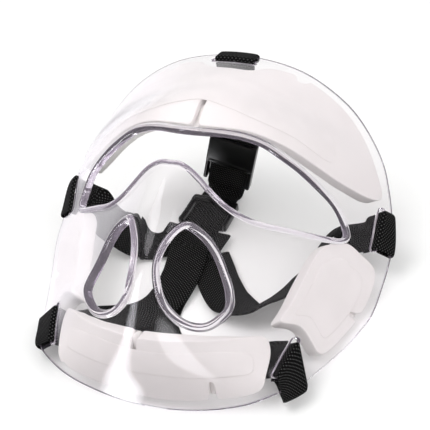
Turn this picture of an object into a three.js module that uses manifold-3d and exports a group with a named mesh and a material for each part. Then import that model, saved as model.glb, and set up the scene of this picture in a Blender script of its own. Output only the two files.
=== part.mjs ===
// Clear face mask for field hockey, lying on its chin and side rims with the nose up.
// The mask is drawn in a face frame: X to the viewer's right, Y to the crown, Z out of the face.
// The whole face frame is then tipped about X until the rim rests on the ground.
import * as THREE from 'three';
import { mergeVertices } from 'three/addons/utils/BufferGeometryUtils.js';
import Module from 'manifold-3d';

const wasm = await Module();
wasm.setup();

// Driving sizes of the shell, in millimetres
const halfWidth = 107;
const halfHeight = 112.5;
const noseHeight = 107.5;
const wall = 3.4;
const lyingAngle = THREE.MathUtils.degToRad(32);
const rimFlat = 0.6;
const eyeLipWidth = 3.2;
const eyeLipRise = 1.1;
const breathLipWidth = 3.8;
const breathLipRise = 1.7;

// Driving sizes of the foam, its tape, the webbing and the plastic sliders
const fitGap = 0.3;
const tapeGap = 0.6;
const foamThickness = 8.5;
const tapeThickness = 0.3;
const webWidth = 25;
const webThickness = 1.6;
const slotLength = 28;
const slotWidth = 4.4;
const loopClearance = 0.85;
const sliderClearance = 0.4;
const railWidth = 2.8;
const barDepth = 1.5;
const railRound = 1.2;
const crownBuckleLength = 36;
const crownPlateLength = 21;
const rearPlateLength = 6;
const rearSliderLength = 24;
const sliderBarWidth = 3.4;
const stitchRise = 0.4;
const stitchGap = 0.5;
const bartackWidth = 8;
const bartackLength = 2.6;
const patchWidth = 42;
const patchLength = 25;
const patchThickness = 1.2;
const webLift = 0.4;
const stitchWidth = 2.2;
const stitchSquare = 17;

// Fineness of the drawn surfaces
const probeStep = 0.5;
const cutOverrun = 80;
const outlineSteps = 56;
const breathSteps = 26;
const tapeSteps = 24;
const bartackShare = 0.45;
const endSteps = 5;

// Height of the middle line over the temples, along the face from chin to crown
const profileShares = [
  [-1.12, 0.17], [-1, 0.36], [-0.89, 0.565], [-0.765, 0.72], [-0.62, 0.857],
  [-0.445, 0.98], [-0.27, 1], [-0.09, 0.995], [0.105, 0.945], [0.32, 0.78],
  [0.535, 0.7], [0.755, 0.485], [0.925, 0.297], [1.02, 0.18], [1.12, 0.05],
];
// How far the surface falls from the middle line to the temples
const fallShares = [
  [-1.12, 0.18], [-0.98, 0.33], [-0.82, 0.54], [-0.667, 0.87], [-0.49, 1.07],
  [-0.31, 1.145], [-0.1, 1.13], [0.1, 1.115], [0.267, 0.985], [0.43, 0.973],
  [0.58, 0.97], [0.73, 0.845], [0.925, 0.615], [1.02, 0.455], [1.12, 0.3],
];
// How round the section is: small is a sharp ridge, large is a broad arch
const roundnessShares = [
  [-1.12, 0.7], [-0.84, 0.9], [-0.667, 0.85], [-0.445, 0.24], [-0.27, 0.19],
  [0.09, 0.19], [0.285, 0.73], [0.445, 1.4], [0.71, 0.65], [1.12, 0.8],
];

// Half outlines as shares of half width and half height, from crown to chin
const rimShares = [
  [0, 1], [0.187, 0.99], [0.374, 0.958], [0.52, 0.902], [0.67, 0.816], [0.785, 0.702],
  [0.885, 0.551], [0.95, 0.373], [0.993, 0.178], [1, 0], [0.984, -0.178], [0.96, -0.3],
  [0.925, -0.4], [0.885, -0.5], [0.813, -0.649], [0.738, -0.778], [0.645, -0.85],
  [0.533, -0.913], [0.393, -0.958], [0.206, -0.993], [0, -1.006],
];
const eyeShares = [
  [0, 0.333], [0.093, 0.338], [0.187, 0.351], [0.28, 0.36], [0.374, 0.354], [0.467, 0.324],
  [0.56, 0.289], [0.645, 0.24], [0.72, 0.187], [0.766, 0.124], [0.785, 0.071],
  [0.766, 0.05], [0.682, 0.022], [0.542, -0.01], [0.43, -0.036], [0.355, -0.036],
  [0.28, -0.015], [0.206, 0.031], [0.16, 0.067], [0.1, 0.104], [0.047, 0.12], [0, 0.118],
];
const breathShares = [
  [0.164, -0.209], [0.23, -0.231], [0.285, -0.284], [0.332, -0.364], [0.37, -0.444],
  [0.383, -0.516], [0.355, -0.573], [0.304, -0.622], [0.243, -0.636], [0.173, -0.618],
  [0.117, -0.569], [0.089, -0.489], [0.08, -0.418], [0.089, -0.347], [0.108, -0.289],
  [0.136, -0.236],
];
const foreheadPadShares = [
  [0, 0.875], [0.13, 0.882], [0.2, 0.93], [0.36, 0.932], [0.505, 0.88], [0.645, 0.8],
  [0.755, 0.69], [0.852, 0.54], [0.915, 0.4], [0.92, 0.352], [0.88, 0.33], [0.82, 0.328],
  [0.737, 0.335], [0.641, 0.36], [0.543, 0.388], [0.43, 0.41], [0.28, 0.416],
  [0.187, 0.405], [0, 0.39],
];
const chinPadShares = [
  [0, -0.75], [0.168, -0.735], [0.355, -0.687], [0.495, -0.622], [0.57, -0.585],
  [0.6, -0.64], [0.598, -0.76], [0.58, -0.85], [0.5, -0.9], [0.35, -0.94],
  [0.187, -0.968], [0, -0.98],
];
const sidePadShares = [
  [0.71, -0.03], [0.75, 0.015], [0.81, 0.05], [0.88, 0.02], [0.945, -0.02], [0.962, -0.1],
  [0.95, -0.2], [0.92, -0.31], [0.875, -0.43], [0.835, -0.53], [0.8, -0.58], [0.75, -0.525],
  [0.69, -0.465], [0.605, -0.485], [0.625, -0.4], [0.665, -0.22],
];

// Relief notches in the pads: middle of each, then its length and width as shares of the plain one
const notchWidth = 3.4;
const notchLength = 19;
const sideNotchLength = 14;
const foreheadNotchShares = [[0.01, 0.475, 1.4, 1], [0.4, 0.965, 1, 2.4], [-0.4, 0.965, 1, 2.4]];
const chinNotchShares = [[-0.55, -0.95, 1, 1], [-0.08, -0.79, 1, 1], [0.325, -0.955, 1, 1]];
const sideNotchShares = [[0.93, -0.31, 1, 1]];
const sideTapeShare = 0.7;
const foreheadTapeShares = [
  [0, 0.8], [0.25, 0.77], [0.5, 0.7], [0.66, 0.55], [0.68, 0.42], [0.5, 0.47], [0.3, 0.5],
  [0.12, 0.54], [0, 0.56],
];
const chinTapeShares = [
  [0, -0.8], [0.2, -0.78], [0.42, -0.72], [0.52, -0.7], [0.53, -0.78], [0.4, -0.84],
  [0.2, -0.88], [0, -0.89],
];

// Strap slots: middle as shares of half width and half height, and the turn of the long side
const crownSlotShares = [0, 0.929];
const templeSlotShares = [0.921, 0.178];
const jawSlotShares = [0.657, -0.658];
const templeSlotTurn = THREE.MathUtils.degToRad(88);
const jawSlotTurn = THREE.MathUtils.degToRad(76);
const crownDrop = 6;
const templeDrop = 9;
const jawDrop = 5;

// The straps lie on the ground in layers, counted up from the ground
const layerPitch = webThickness + fitGap;
const layerHeight = (layer) => webLift + webThickness / 2 + layer * layerPitch;
const patchLow = layerHeight(1) + webThickness / 2 + fitGap;
const overPatch = (patchLow + patchThickness + fitGap + webThickness / 2 - layerHeight(0)) / layerPitch;
const patchShares = [-0.215, 0.187];
const patchTurn = THREE.MathUtils.degToRad(-8);

// Routes of the webbing: each row has a place as shares of half width and half height,
// a height in layers, and the way the width of the strap lies
const templeTautShares = [
  [-0.757, 0.17, 9.9, 0, 1, 0.25], [-0.622, 0.11, 5.4, 0.05, 1, 0.1],
  [-0.527, 0.106, 2.2, 0.05, 1, 0], [-0.448, 0.118, 1, 0, 1, 0], [-0.345, 0.157, 1, -0.12, 1, 0],
];
const templeSlackShares = [
  [0.753, 0.267, 10.16, -0.02, 0.98, -0.1], [0.645, 0.294, 8.32, -0.25, 0.8, -0.55],
  [0.583, 0.228, 6, -0.35, 0.7, -0.62], [0.561, 0.107, 4.7, -0.5, 0.58, -0.62],
  [0.529, -0.031, 4.3, -0.7, 0.45, -0.55], [0.465, -0.171, 4.3, -0.55, 0.6, -0.58],
  [0.394, -0.263, 4.3, -0.3, 0.72, -0.62], [0.309, -0.326, 3.9, 0, 0.8, -0.58],
  [0.175, -0.268, 1.9, 0.4, 0.9, -0.15], [0.056, -0.124, 1.05, 0.75, 0.66, 0],
  [-0.019, 0, 1, 0.86, 0.5, 0], [-0.079, 0.093, 1, 0.9, 0.43, 0],
];
const jawUnderShares = [
  [0.503, -0.624, 4.1, 0.33, 0.94, 0], [0.363, -0.641, 1, -0.21, 0.98, 0],
  [0.2, -0.686, 0, -0.15, 0.99, 0], [0.051, -0.685, 0, 0.24, 0.97, 0],
  [-0.09, -0.616, 0, 0.66, 0.75, 0], [-0.185, -0.489, 0, 0.93, 0.38, 0],
  [-0.211, -0.337, 0, 1, 0.05, 0], [-0.2, -0.166, 0, 1, -0.06, 0],
  [-0.186, 0.02, 0, 1, -0.05, 0], [-0.182, 0.12, 0, 1, -0.03, 0],
];
const jawOverShares = [
  [-0.505, -0.596, 6.2, -0.65, 0.75, 0], [-0.374, -0.507, 3.6, -0.6, 0.8, 0],
  [-0.252, -0.391, 2, -0.75, 0.65, 0], [-0.196, -0.249, 1.7, -0.92, 0.35, 0],
  [-0.182, -0.089, 2.1, -1, 0, 0], [-0.192, 0.036, overPatch, -1, -0.1, 0],
  [-0.215, 0.16, overPatch, -1, -0.14, 0], [-0.229, 0.258, overPatch, -1, -0.14, 0],
];

// The crown strap hangs as two plies and then runs back over the ground: its places while
// it hangs are shares of half width, half height and nose height
const crownKneeShares = [-0.0093, 0.6356, 0.7442];
const crownTopShares = [-0.028, 0.6578, 0.5581];
const crownFootShares = [-0.1542, 0.6578, 0.0809];
const crownTurnShares = [-0.1664, 0.6507, 0.0409];
const crownLandingShares = [-0.1794, 0.6133, 1];
const crownEndShares = [-0.215, 0.2711, 1];
const crownShinShare = 0.85;
const crownGroundShare = 0.14;
const crownBuckleHeight = 30;
const rearSliderPlace = 18.5;

// Smooth curve through a table of shares
function smooth(table, at) {
  const last = table.length - 1;
  let i = 0;
  while (i < last - 1 && at > table[i + 1][0]) i += 1;
  const slope = (k) => {
    const low = table[Math.max(k - 1, 0)];
    const high = table[Math.min(k + 1, last)];
    return (high[1] - low[1]) / (high[0] - low[0]);
  };
  const [start, from] = table[i];
  const [stop, to] = table[i + 1];
  const span = stop - start;
  const t = THREE.MathUtils.clamp((at - start) / span, 0, 1);
  const ease = t * t * (3 - 2 * t);
  const leave = t * (1 - t) * (1 - t) * span * slope(i);
  const arrive = t * t * (t - 1) * span * slope(i + 1);
  return from + (to - from) * ease + leave + arrive;
}

// Outer surface of the shell over the face plane
function surfaceHeight(x, y) {
  const along = y / halfHeight;
  const across = x / halfWidth;
  const roundness = smooth(roundnessShares, along);
  const arch = Math.hypot(across, roundness) - roundness;
  const fullArch = Math.hypot(1, roundness) - roundness;
  const middle = smooth(profileShares, along);
  return noseHeight * (middle - (smooth(fallShares, along) * arch) / fullArch);
}

function surfaceNormal(x, y) {
  const slopeX = surfaceHeight(x + probeStep, y) - surfaceHeight(x - probeStep, y);
  const slopeY = surfaceHeight(x, y + probeStep) - surfaceHeight(x, y - probeStep);
  return new THREE.Vector3(-slopeX, -slopeY, 2 * probeStep).normalize();
}

function surfacePoint(x, y, depth = 0) {
  const point = new THREE.Vector3(x, y, surfaceHeight(x, y));
  return point.addScaledVector(surfaceNormal(x, y), -depth);
}

// Solids from meshes and meshes from solids
function toSolid(geometry) {
  const bare = geometry.clone();
  bare.deleteAttribute('normal');
  bare.deleteAttribute('uv');
  const merged = mergeVertices(bare);
  const mesh = new wasm.Mesh({
    numProp: 3,
    vertProperties: new Float32Array(merged.attributes.position.array),
    triVerts: new Uint32Array(merged.index.array),
  });
  return new wasm.Manifold(mesh);
}

function toGeometry(solid) {
  const mesh = solid.getMesh();
  const geometry = new THREE.BufferGeometry();
  geometry.setAttribute('position', new THREE.BufferAttribute(mesh.vertProperties, 3));
  geometry.setIndex(new THREE.BufferAttribute(mesh.triVerts, 1));
  return geometry;
}

// A closed body from rings of points; open sweeps get an end cap on each side
function sweep(rings, closed) {
  const count = rings[0].length;
  const positions = rings.flat().flatMap((point) => point.toArray());
  const faces = [];
  const spans = closed ? rings.length : rings.length - 1;
  for (let r = 0; r < spans; r += 1) {
    const here = r * count;
    const next = ((r + 1) % rings.length) * count;
    for (let s = 0; s < count; s += 1) {
      const turn = (s + 1) % count;
      faces.push(here + s, here + turn, next + turn, here + s, next + turn, next + s);
    }
  }
  if (!closed) {
    const end = (rings.length - 1) * count;
    for (let s = 1; s < count - 1; s += 1) {
      faces.push(0, s + 1, s, end, end + s, end + s + 1);
    }
  }
  const point = (k) => new THREE.Vector3().fromArray(positions, 3 * faces[k]);
  let volume = 0;
  for (let k = 0; k < faces.length; k += 3) volume += point(k).dot(point(k + 1).cross(point(k + 2)));
  const geometry = new THREE.BufferGeometry();
  geometry.setAttribute('position', new THREE.Float32BufferAttribute(positions, 3));
  geometry.setIndex(volume < 0 ? faces.reverse() : faces);
  return geometry;
}

// Grid lines of the shell: close together over the nose, wider on the cheeks
const columnShares = [0, 0.04, 0.09, 0.15, 0.23, 0.32, 0.41, 0.5, 0.59, 0.68, 0.77, 0.86, 0.95, 1.04];
const columns = [
  ...columnShares.slice(1).reverse().map((share) => -share * halfWidth),
  ...columnShares.map((share) => share * halfWidth),
];
const rowCount = 30;
const rowSpanShare = 1.07;
const rowShares = Array.from({ length: rowCount + 1 }, (_, k) => rowSpanShare * (2 * (k / rowCount) - 1));
const rows = rowShares.map((share) => share * halfHeight);

// Pieces of the shell are cut flat, over the face plane, and then bent onto the surface.
// The flat slab is bowed a little, so that its grid lines are kept where it is cut.
const bowShare = 0.1;
const bow = (x, y) => (bowShare * (x * x + y * y)) / halfWidth;

function linesAcross(lines, low, high) {
  return lines.filter((at, k) => (lines[k + 1] ?? at) >= low && (lines[k - 1] ?? at) <= high);
}

// A flat slab between two depths under the outer surface
function slab(top, bottom, box) {
  const xs = linesAcross(columns, box.min.x, box.max.x);
  const ys = linesAcross(rows, box.min.y, box.max.y);
  const wide = xs.length;
  const layer = wide * ys.length;
  const sheet = (depth) => ys.flatMap((y) => xs.flatMap((x) => [x, y, bow(x, y) - depth]));
  const points = [...sheet(top), ...sheet(bottom)];
  const faces = [];
  const quad = (a, b, c, d) => faces.push(a, b, c, a, c, d);
  for (let j = 0; j < ys.length - 1; j += 1) {
    for (let i = 0; i < wide - 1; i += 1) {
      const a = j * wide + i;
      quad(a, a + 1, a + 1 + wide, a + wide);
      quad(a + layer, a + wide + layer, a + 1 + wide + layer, a + 1 + layer);
    }
  }
  for (let i = 0; i < wide - 1; i += 1) {
    const far = layer - wide + i;
    quad(i, i + layer, i + 1 + layer, i + 1);
    quad(far, far + 1, far + 1 + layer, far + layer);
  }
  for (let j = 0; j < ys.length - 1; j += 1) {
    const a = j * wide;
    const b = a + wide - 1;
    quad(a, a + wide, a + wide + layer, a + layer);
    quad(b, b + layer, b + wide + layer, b + wide);
  }
  const geometry = new THREE.BufferGeometry();
  geometry.setAttribute('position', new THREE.Float32BufferAttribute(points, 3));
  geometry.setIndex(faces);
  return toSolid(geometry);
}

// Bend a flat solid onto the surface of the face
function bent(solid) {
  const geometry = toGeometry(solid);
  const spots = geometry.attributes.position;
  for (let k = 0; k < spots.count; k += 1) {
    const x = spots.getX(k);
    const y = spots.getY(k);
    const spot = surfacePoint(x, y, bow(x, y) - spots.getZ(k));
    spots.setXYZ(k, spot.x, spot.y, spot.z);
  }
  return geometry;
}

// Outlines in the face plane
const place = ([x, y]) => new THREE.Vector2(x * halfWidth, y * halfHeight);

function closedOutline(points, steps) {
  const corners = points.map((p) => new THREE.Vector3(p.x, p.y, 0));
  const curve = new THREE.CatmullRomCurve3(corners, true, 'centripetal');
  const spots = curve.getSpacedPoints(steps).slice(0, steps).map((p) => new THREE.Vector2(p.x, p.y));
  return THREE.ShapeUtils.isClockWise(spots) ? spots.reverse() : spots;
}

function mirroredOutline(halfShares, steps) {
  const half = halfShares.map(place);
  const other = half.slice(1, -1).reverse().map((p) => new THREE.Vector2(-p.x, p.y));
  return closedOutline([...half, ...other], steps);
}

const flipped = (outline) => outline.map((p) => new THREE.Vector2(-p.x, p.y)).reverse();

function prism(outline) {
  const depth = 2 * cutOverrun;
  const geometry = new THREE.ExtrudeGeometry(new THREE.Shape(outline), { depth, bevelEnabled: false });
  geometry.translate(0, 0, -cutOverrun);
  return toSolid(geometry);
}

function capsuleOutline(middle, length, width, turn) {
  const radius = width / 2;
  const reach = Math.max(length / 2 - radius, radius);
  const shape = new THREE.Shape();
  shape.absarc(reach, 0, radius, -Math.PI / 2, Math.PI / 2, false);
  shape.absarc(-reach, 0, radius, Math.PI / 2, (3 * Math.PI) / 2, false);
  const spots = shape.getPoints(endSteps).slice(0, -1);
  return spots.map((spot) => spot.rotateAround(new THREE.Vector2(), turn).add(middle));
}

const rimOutline = mirroredOutline(rimShares, outlineSteps);
const eyeOutline = mirroredOutline(eyeShares, outlineSteps);
const breathOutline = closedOutline(breathShares.map(place), breathSteps);

// A raised rounded lip round an opening, still flat
const lipSectionShares = [[1, 0], [0.85, 0.7], [0.5, 1], [0.15, 0.7], [0, 0]];

function lip(outline, width, rise) {
  const count = outline.length;
  const rings = outline.map((spot, k) => {
    const along = outline[(k + 1) % count].clone().sub(outline[(k + count - 1) % count]).normalize();
    const outward = new THREE.Vector2(along.y, -along.x);
    const at = (side, up) => {
      const foot = spot.clone().addScaledVector(outward, side * width);
      return new THREE.Vector3(foot.x, foot.y, bow(foot.x, foot.y) + up);
    };
    const top = lipSectionShares.map(([side, up]) => at(side, up * rise));
    return [at(0, -wall / 2), at(1, -wall / 2), ...top];
  });
  return toSolid(sweep(rings, true));
}

// The tipped frame that carries the shell and the pads, resting on the ground
const upright = new THREE.Vector3(0, Math.sin(lyingAngle), Math.cos(lyingAngle));
const rimEdge = rimOutline.flatMap((p) => [surfacePoint(p.x, p.y), surfacePoint(p.x, p.y, wall)]);
const lowest = Math.min(...rimEdge.map((point) => point.dot(upright)));

const mask = new THREE.Group();
const face = new THREE.Group();
face.rotation.x = lyingAngle;
face.position.z = -lowest - rimFlat;
mask.add(face);
mask.updateMatrixWorld(true);
const lying = (point) => face.localToWorld(point.clone());

function addPart(parent, name, geometry, finish) {
  const mesh = new THREE.Mesh(geometry, new THREE.MeshStandardMaterial(finish));
  mesh.name = name;
  parent.add(mesh);
}

const clearPlastic = { color: 0xe4dbe8, roughness: 0.08, metalness: 0, transparent: true, opacity: 0.45 };
const whiteFoam = { color: 0xe9e2e1, roughness: 0.9, metalness: 0 };
const clearTape = { color: 0xd8c8b4, roughness: 0.6, metalness: 0 };
const blackWeb = { color: 0x17151a, roughness: 0.95, metalness: 0 };
const blackPlastic = { color: 0x121214, roughness: 0.5, metalness: 0 };
const blackThread = { color: 0x1d1b20, roughness: 0.8, metalness: 0 };

// Strap slots: each is cut square to the surface, so its sizes are measured along the surface
function slotAt(shares, turn, side) {
  const middle = place(shares);
  middle.x *= side;
  const lie = side < 0 ? Math.PI - turn : turn;
  const along = new THREE.Vector2(Math.cos(lie), Math.sin(lie));
  const outward = new THREE.Vector2(along.y, -along.x);
  if (outward.dot(middle) < 0) outward.negate();
  const stretch = (direction) => {
    const step = direction.clone().multiplyScalar(probeStep);
    const rise = surfaceHeight(middle.x + step.x, middle.y + step.y) - surfaceHeight(middle.x, middle.y);
    return Math.hypot(rise, probeStep) / probeStep;
  };
  const outline = capsuleOutline(middle, slotLength / stretch(along), slotWidth / stretch(outward), lie);
  return { middle, along, outward, alongStretch: stretch(along), outStretch: stretch(outward), outline };
}

const slots = { crown: slotAt(crownSlotShares, 0, 1) };
for (const [side, name] of [[-1, 'left'], [1, 'right']]) {
  slots[`temple_${name}`] = slotAt(templeSlotShares, templeSlotTurn, side);
  slots[`jaw_${name}`] = slotAt(jawSlotShares, jawSlotTurn, side);
}

// Shell
function groundBlock(lift) {
  const size = 4 * halfHeight;
  const block = new THREE.BoxGeometry(size, size, size);
  block.translate(0, 0, lift - size / 2);
  block.applyMatrix4(face.matrixWorld.clone().invert());
  return toSolid(block);
}

const boxOf = (outline) => new THREE.Box2().setFromPoints(outline);

let shell = slab(0, wall, boxOf(rimOutline)).intersect(prism(rimOutline));
shell = shell.add(lip(eyeOutline, eyeLipWidth, eyeLipRise));
for (const outline of [breathOutline, flipped(breathOutline)]) {
  shell = shell.add(lip(outline, breathLipWidth, breathLipRise)).subtract(prism(outline));
}
shell = shell.subtract(prism(eyeOutline));
for (const slot of Object.values(slots)) shell = shell.subtract(prism(slot.outline));
shell = toSolid(bent(shell)).subtract(groundBlock(0));
addPart(face, 'mask_shell', toGeometry(shell), clearPlastic);

// Foam pads, and the tape that holds each one to the shell
const tapeTop = wall + tapeGap;
const foamTop = tapeTop + tapeThickness + fitGap;

function padLayer(top, thickness, outline, notches) {
  let layer = slab(top, top + thickness, boxOf(outline)).intersect(prism(outline));
  for (const cut of notches) layer = layer.subtract(prism(cut));
  return toGeometry(toSolid(bent(layer)).subtract(groundBlock(fitGap)));
}

function shrunk(outline, share) {
  const middle = boxOf(outline).getCenter(new THREE.Vector2());
  return outline.map((p) => p.clone().sub(middle).multiplyScalar(share).add(middle));
}

function addPad(name, outline, notches, tapeOutline) {
  addPart(face, `${name}_pad`, padLayer(foamTop, foamThickness, outline, notches), whiteFoam);
  addPart(face, `${name}_tape`, padLayer(tapeTop, tapeThickness, tapeOutline, []), clearTape);
}

const foreheadOutline = mirroredOutline(foreheadPadShares, outlineSteps);
const chinOutline = mirroredOutline(chinPadShares, outlineSteps);
const sideOutline = closedOutline(sidePadShares.map(place), breathSteps);
const notch = (shares, length, turn) => (
  capsuleOutline(place(shares), length * shares[2], notchWidth * shares[3], turn)
);
const uprightNotch = (shares) => notch(shares, notchLength, Math.PI / 2);
const levelNotch = (shares) => notch(shares, sideNotchLength, 0);
const sideNotches = sideNotchShares.map(levelNotch);
const foreheadTape = mirroredOutline(foreheadTapeShares, tapeSteps);
const chinTape = mirroredOutline(chinTapeShares, tapeSteps);
const sideTape = shrunk(sideOutline, sideTapeShare);

addPad('forehead', foreheadOutline, foreheadNotchShares.map(uprightNotch), foreheadTape);
addPad('chin', chinOutline, chinNotchShares.map(uprightNotch), chinTape);
addPad('side_right', sideOutline, sideNotches, sideTape);
addPad('side_left', flipped(sideOutline), sideNotches.map(flipped), flipped(sideTape));

// Flat webbing: each station has a top and a bottom row of points across the band
const acrossShares = [-1, -0.34, 0.34, 1];
const ringOf = ({ top, bottom }) => [...top, ...[...bottom].reverse()];

function station(centre, across, up) {
  const row = (side) => acrossShares.map((share) => centre.clone()
    .addScaledVector(across, (share * webWidth) / 2)
    .addScaledVector(up, (side * webThickness) / 2));
  return { centre, across, up, top: row(1), bottom: row(-1) };
}

// Distance from a slot to the rim, at the widest place under the strap
function rimReach(slot) {
  let reach = 0;
  for (const share of acrossShares) {
    const from = slot.middle.clone().addScaledVector(slot.along, (share * webWidth) / 2 / slot.alongStretch);
    rimOutline.forEach((start, k) => {
      const span = rimOutline[(k + 1) % rimOutline.length].clone().sub(start);
      const toward = start.clone().sub(from);
      const turn = slot.outward.cross(span);
      const far = toward.cross(span) / turn;
      const part = toward.cross(slot.outward) / turn;
      if (far > 0 && part >= 0 && part <= 1 && far < halfWidth / 2) reach = Math.max(reach, far);
    });
  }
  return reach * slot.outStretch;
}

// The loop of a strap round the bar between its slot and the rim: it comes up through
// the slot, crosses the bar, turns round the rim and runs back beside itself
const cornerTurns = [0, 0.5, 1];

function loopStations(slot, drop) {
  const clear = loopClearance + webThickness / 2;
  const low = -wall - clear;
  const near = slotWidth / 2;
  const far = rimReach(slot);
  const path = [];
  const corner = (s, e, from, to) => cornerTurns.forEach((share) => {
    const angle = THREE.MathUtils.lerp(from, to, share);
    path.push([s + clear * Math.cos(angle), e + clear * Math.sin(angle), angle]);
  });
  const ply = near - clear;
  path.push([ply, low - drop, Math.PI], [ply, low, Math.PI]);
  corner(near, 0, Math.PI, Math.PI / 2);
  corner(far, 0, Math.PI / 2, 0);
  corner(far, -wall, 0, -Math.PI / 2);
  const back = ply + webThickness + fitGap;
  path.push([near + webThickness + clear, low, -Math.PI / 2]);
  path.push([back + clear / 2, low - webThickness / 2, -Math.PI / 4]);
  path.push([back, low - clear, 0], [back, low - drop, 0]);
  return path.map(([s, e, angle]) => {
    const row = (side) => acrossShares.map((share) => {
      const out = (s + (side * webThickness * Math.cos(angle)) / 2) / slot.outStretch;
      const up = e + (side * webThickness * Math.sin(angle)) / 2;
      const sideways = (share * webWidth) / 2 / slot.alongStretch;
      const foot = slot.middle.clone().addScaledVector(slot.outward, out);
      foot.addScaledVector(slot.along, sideways);
      return lying(surfacePoint(foot.x, foot.y, -up));
    });
    const top = row(1);
    const bottom = row(-1);
    const last = acrossShares.length - 1;
    const centre = top[0].clone().add(top[last]).add(bottom[0]).add(bottom[last]).divideScalar(4);
    const across = top[last].clone().sub(top[0]).normalize();
    const rise = top[0].clone().sub(bottom[0]).normalize();
    return { centre, across, up: rise, top, bottom };
  });
}

// A free run of webbing that carries on from a station, through places on its way
const rowPlace = ([x, y, layer]) => new THREE.Vector3(x * halfWidth, y * halfHeight, layerHeight(layer));
const rowWay = ([, , , x, y, z]) => new THREE.Vector3(x, y, z).normalize();

function runStations(stations, centres, ways, steps) {
  const start = stations[stations.length - 1];
  const lead = stations[stations.length - 2];
  const curve = new THREE.CatmullRomCurve3([lead.centre, start.centre, ...centres], false, 'centripetal');
  const allWays = [start.across, ...ways];
  const spans = centres.length;
  const found = [];
  let side = 0;
  for (let k = 1; k <= steps; k += 1) {
    const passed = (spans * k) / steps;
    const whole = Math.min(Math.floor(passed), spans - 1);
    const share = (1 + passed) / (1 + spans);
    const tangent = curve.getTangent(share);
    const way = allWays[whole].clone().lerp(allWays[whole + 1], passed - whole);
    way.addScaledVector(tangent, -way.dot(tangent)).normalize();
    const up = way.clone().cross(tangent).normalize();
    side = side || Math.sign(up.dot(start.up));
    found.push(station(curve.getPoint(share), way, up.multiplyScalar(side)));
  }
  return found;
}

function addBand(name, stations, finish) {
  addPart(mask, name, sweep(stations.map(ringOf), false), finish);
}

// Hangs a piece at a place, with its x and y along two ways
function addSeated(name, geometry, middle, across, along, finish) {
  const holder = new THREE.Group();
  const normal = across.clone().cross(along).normalize();
  holder.quaternion.setFromRotationMatrix(new THREE.Matrix4().makeBasis(across, along, normal));
  holder.position.copy(middle);
  mask.add(holder);
  addPart(holder, name, geometry, finish);
}

// A short flat bar of stitching on the outer side of a strap, between two of its stations
function addStitch(name, [from, to]) {
  const heart = (row) => row[1].clone().lerp(row[2], 0.5);
  const along = heart(to.top).sub(heart(from.top)).normalize();
  const across = from.top[2].clone().sub(from.top[1]);
  across.addScaledVector(along, -across.dot(along)).normalize();
  const outward = heart(from.top).sub(heart(from.bottom));
  if (across.clone().cross(along).dot(outward) < 0) across.negate();
  const bar = new THREE.BoxGeometry(bartackWidth, bartackLength, stitchRise);
  bar.translate(0, 0, stitchGap + stitchRise / 2);
  const middle = heart(from.top).lerp(heart(to.top), bartackShare);
  addSeated(name, bar, middle, across, along, blackThread);
}

const steps = { templeTaut: 14, templeSlack: 36, jawOver: 20, jawUnder: 30, crownFront: 15, crownRear: 36 };

function addSlotStrap(name, slot, drop, table, count) {
  const loop = loopStations(slot, drop).reverse();
  const run = runStations(loop, table.map(rowPlace), table.map(rowWay), count);
  addBand(`${name}_strap`, [...loop, ...run], blackWeb);
  addStitch(`${name}_bartack`, loop.slice(-2));
}

addSlotStrap('temple_left', slots.temple_left, templeDrop, templeTautShares, steps.templeTaut);
addSlotStrap('temple_right', slots.temple_right, templeDrop, templeSlackShares, steps.templeSlack);
addSlotStrap('jaw_left', slots.jaw_left, jawDrop, jawOverShares, steps.jawOver);
addSlotStrap('jaw_right', slots.jaw_right, jawDrop, jawUnderShares, steps.jawUnder);

// Crown strap: the front ply ends under the buckle, the rear ply goes on to the patch
const hangPlace = ([x, y, z]) => new THREE.Vector3(x * halfWidth, y * halfHeight, z * noseHeight);
const crownKnee = hangPlace(crownKneeShares);
const crownTop = hangPlace(crownTopShares);
const crownFoot = hangPlace(crownFootShares);
const crownTurn = hangPlace(crownTurnShares);
const crownLanding = rowPlace(crownLandingShares);
const crownEnd = rowPlace(crownEndShares);
const plyOffset = new THREE.Vector3(0, layerPitch / 2, 0);
const frontPly = (point) => point.clone().sub(plyOffset);
const rearPly = (point) => point.clone().add(plyOffset);
const hangDown = crownFoot.clone().sub(crownTop).normalize();
const crownMiddle = crownTop.clone().lerp(crownFoot, 0.5);
const crownShin = crownTop.clone().lerp(crownFoot, crownShinShare);
const crownGround = crownLanding.clone().lerp(crownEnd, crownGroundShare);
const hangPlaces = [crownKnee, crownTop, crownMiddle, crownShin, crownFoot];
const hangWay = new THREE.Vector3(-hangDown.z, 0, hangDown.x);
const groundAlong = crownEnd.clone().sub(crownLanding).normalize();
const groundWay = new THREE.Vector3(-groundAlong.y, groundAlong.x, 0);
const crownLoop = loopStations(slots.crown, crownDrop);
const levelWay = new THREE.Vector3(1, 0, 0);
const crownFront = runStations(
  [...crownLoop].reverse(),
  hangPlaces.map(frontPly),
  [levelWay, hangWay, hangWay, hangWay, hangWay],
  steps.crownFront,
);
const crownRear = runStations(
  crownLoop,
  [...hangPlaces.map(rearPly), crownTurn, crownLanding, crownGround, crownEnd],
  [levelWay, hangWay, hangWay, hangWay, hangWay, groundWay, groundWay, groundWay, groundWay],
  steps.crownRear,
);
addBand('crown_strap', [...[...crownFront].reverse(), ...crownLoop, ...crownRear], blackWeb);
addStitch('crown_bartack', crownLoop.slice(0, 2).reverse());

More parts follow.
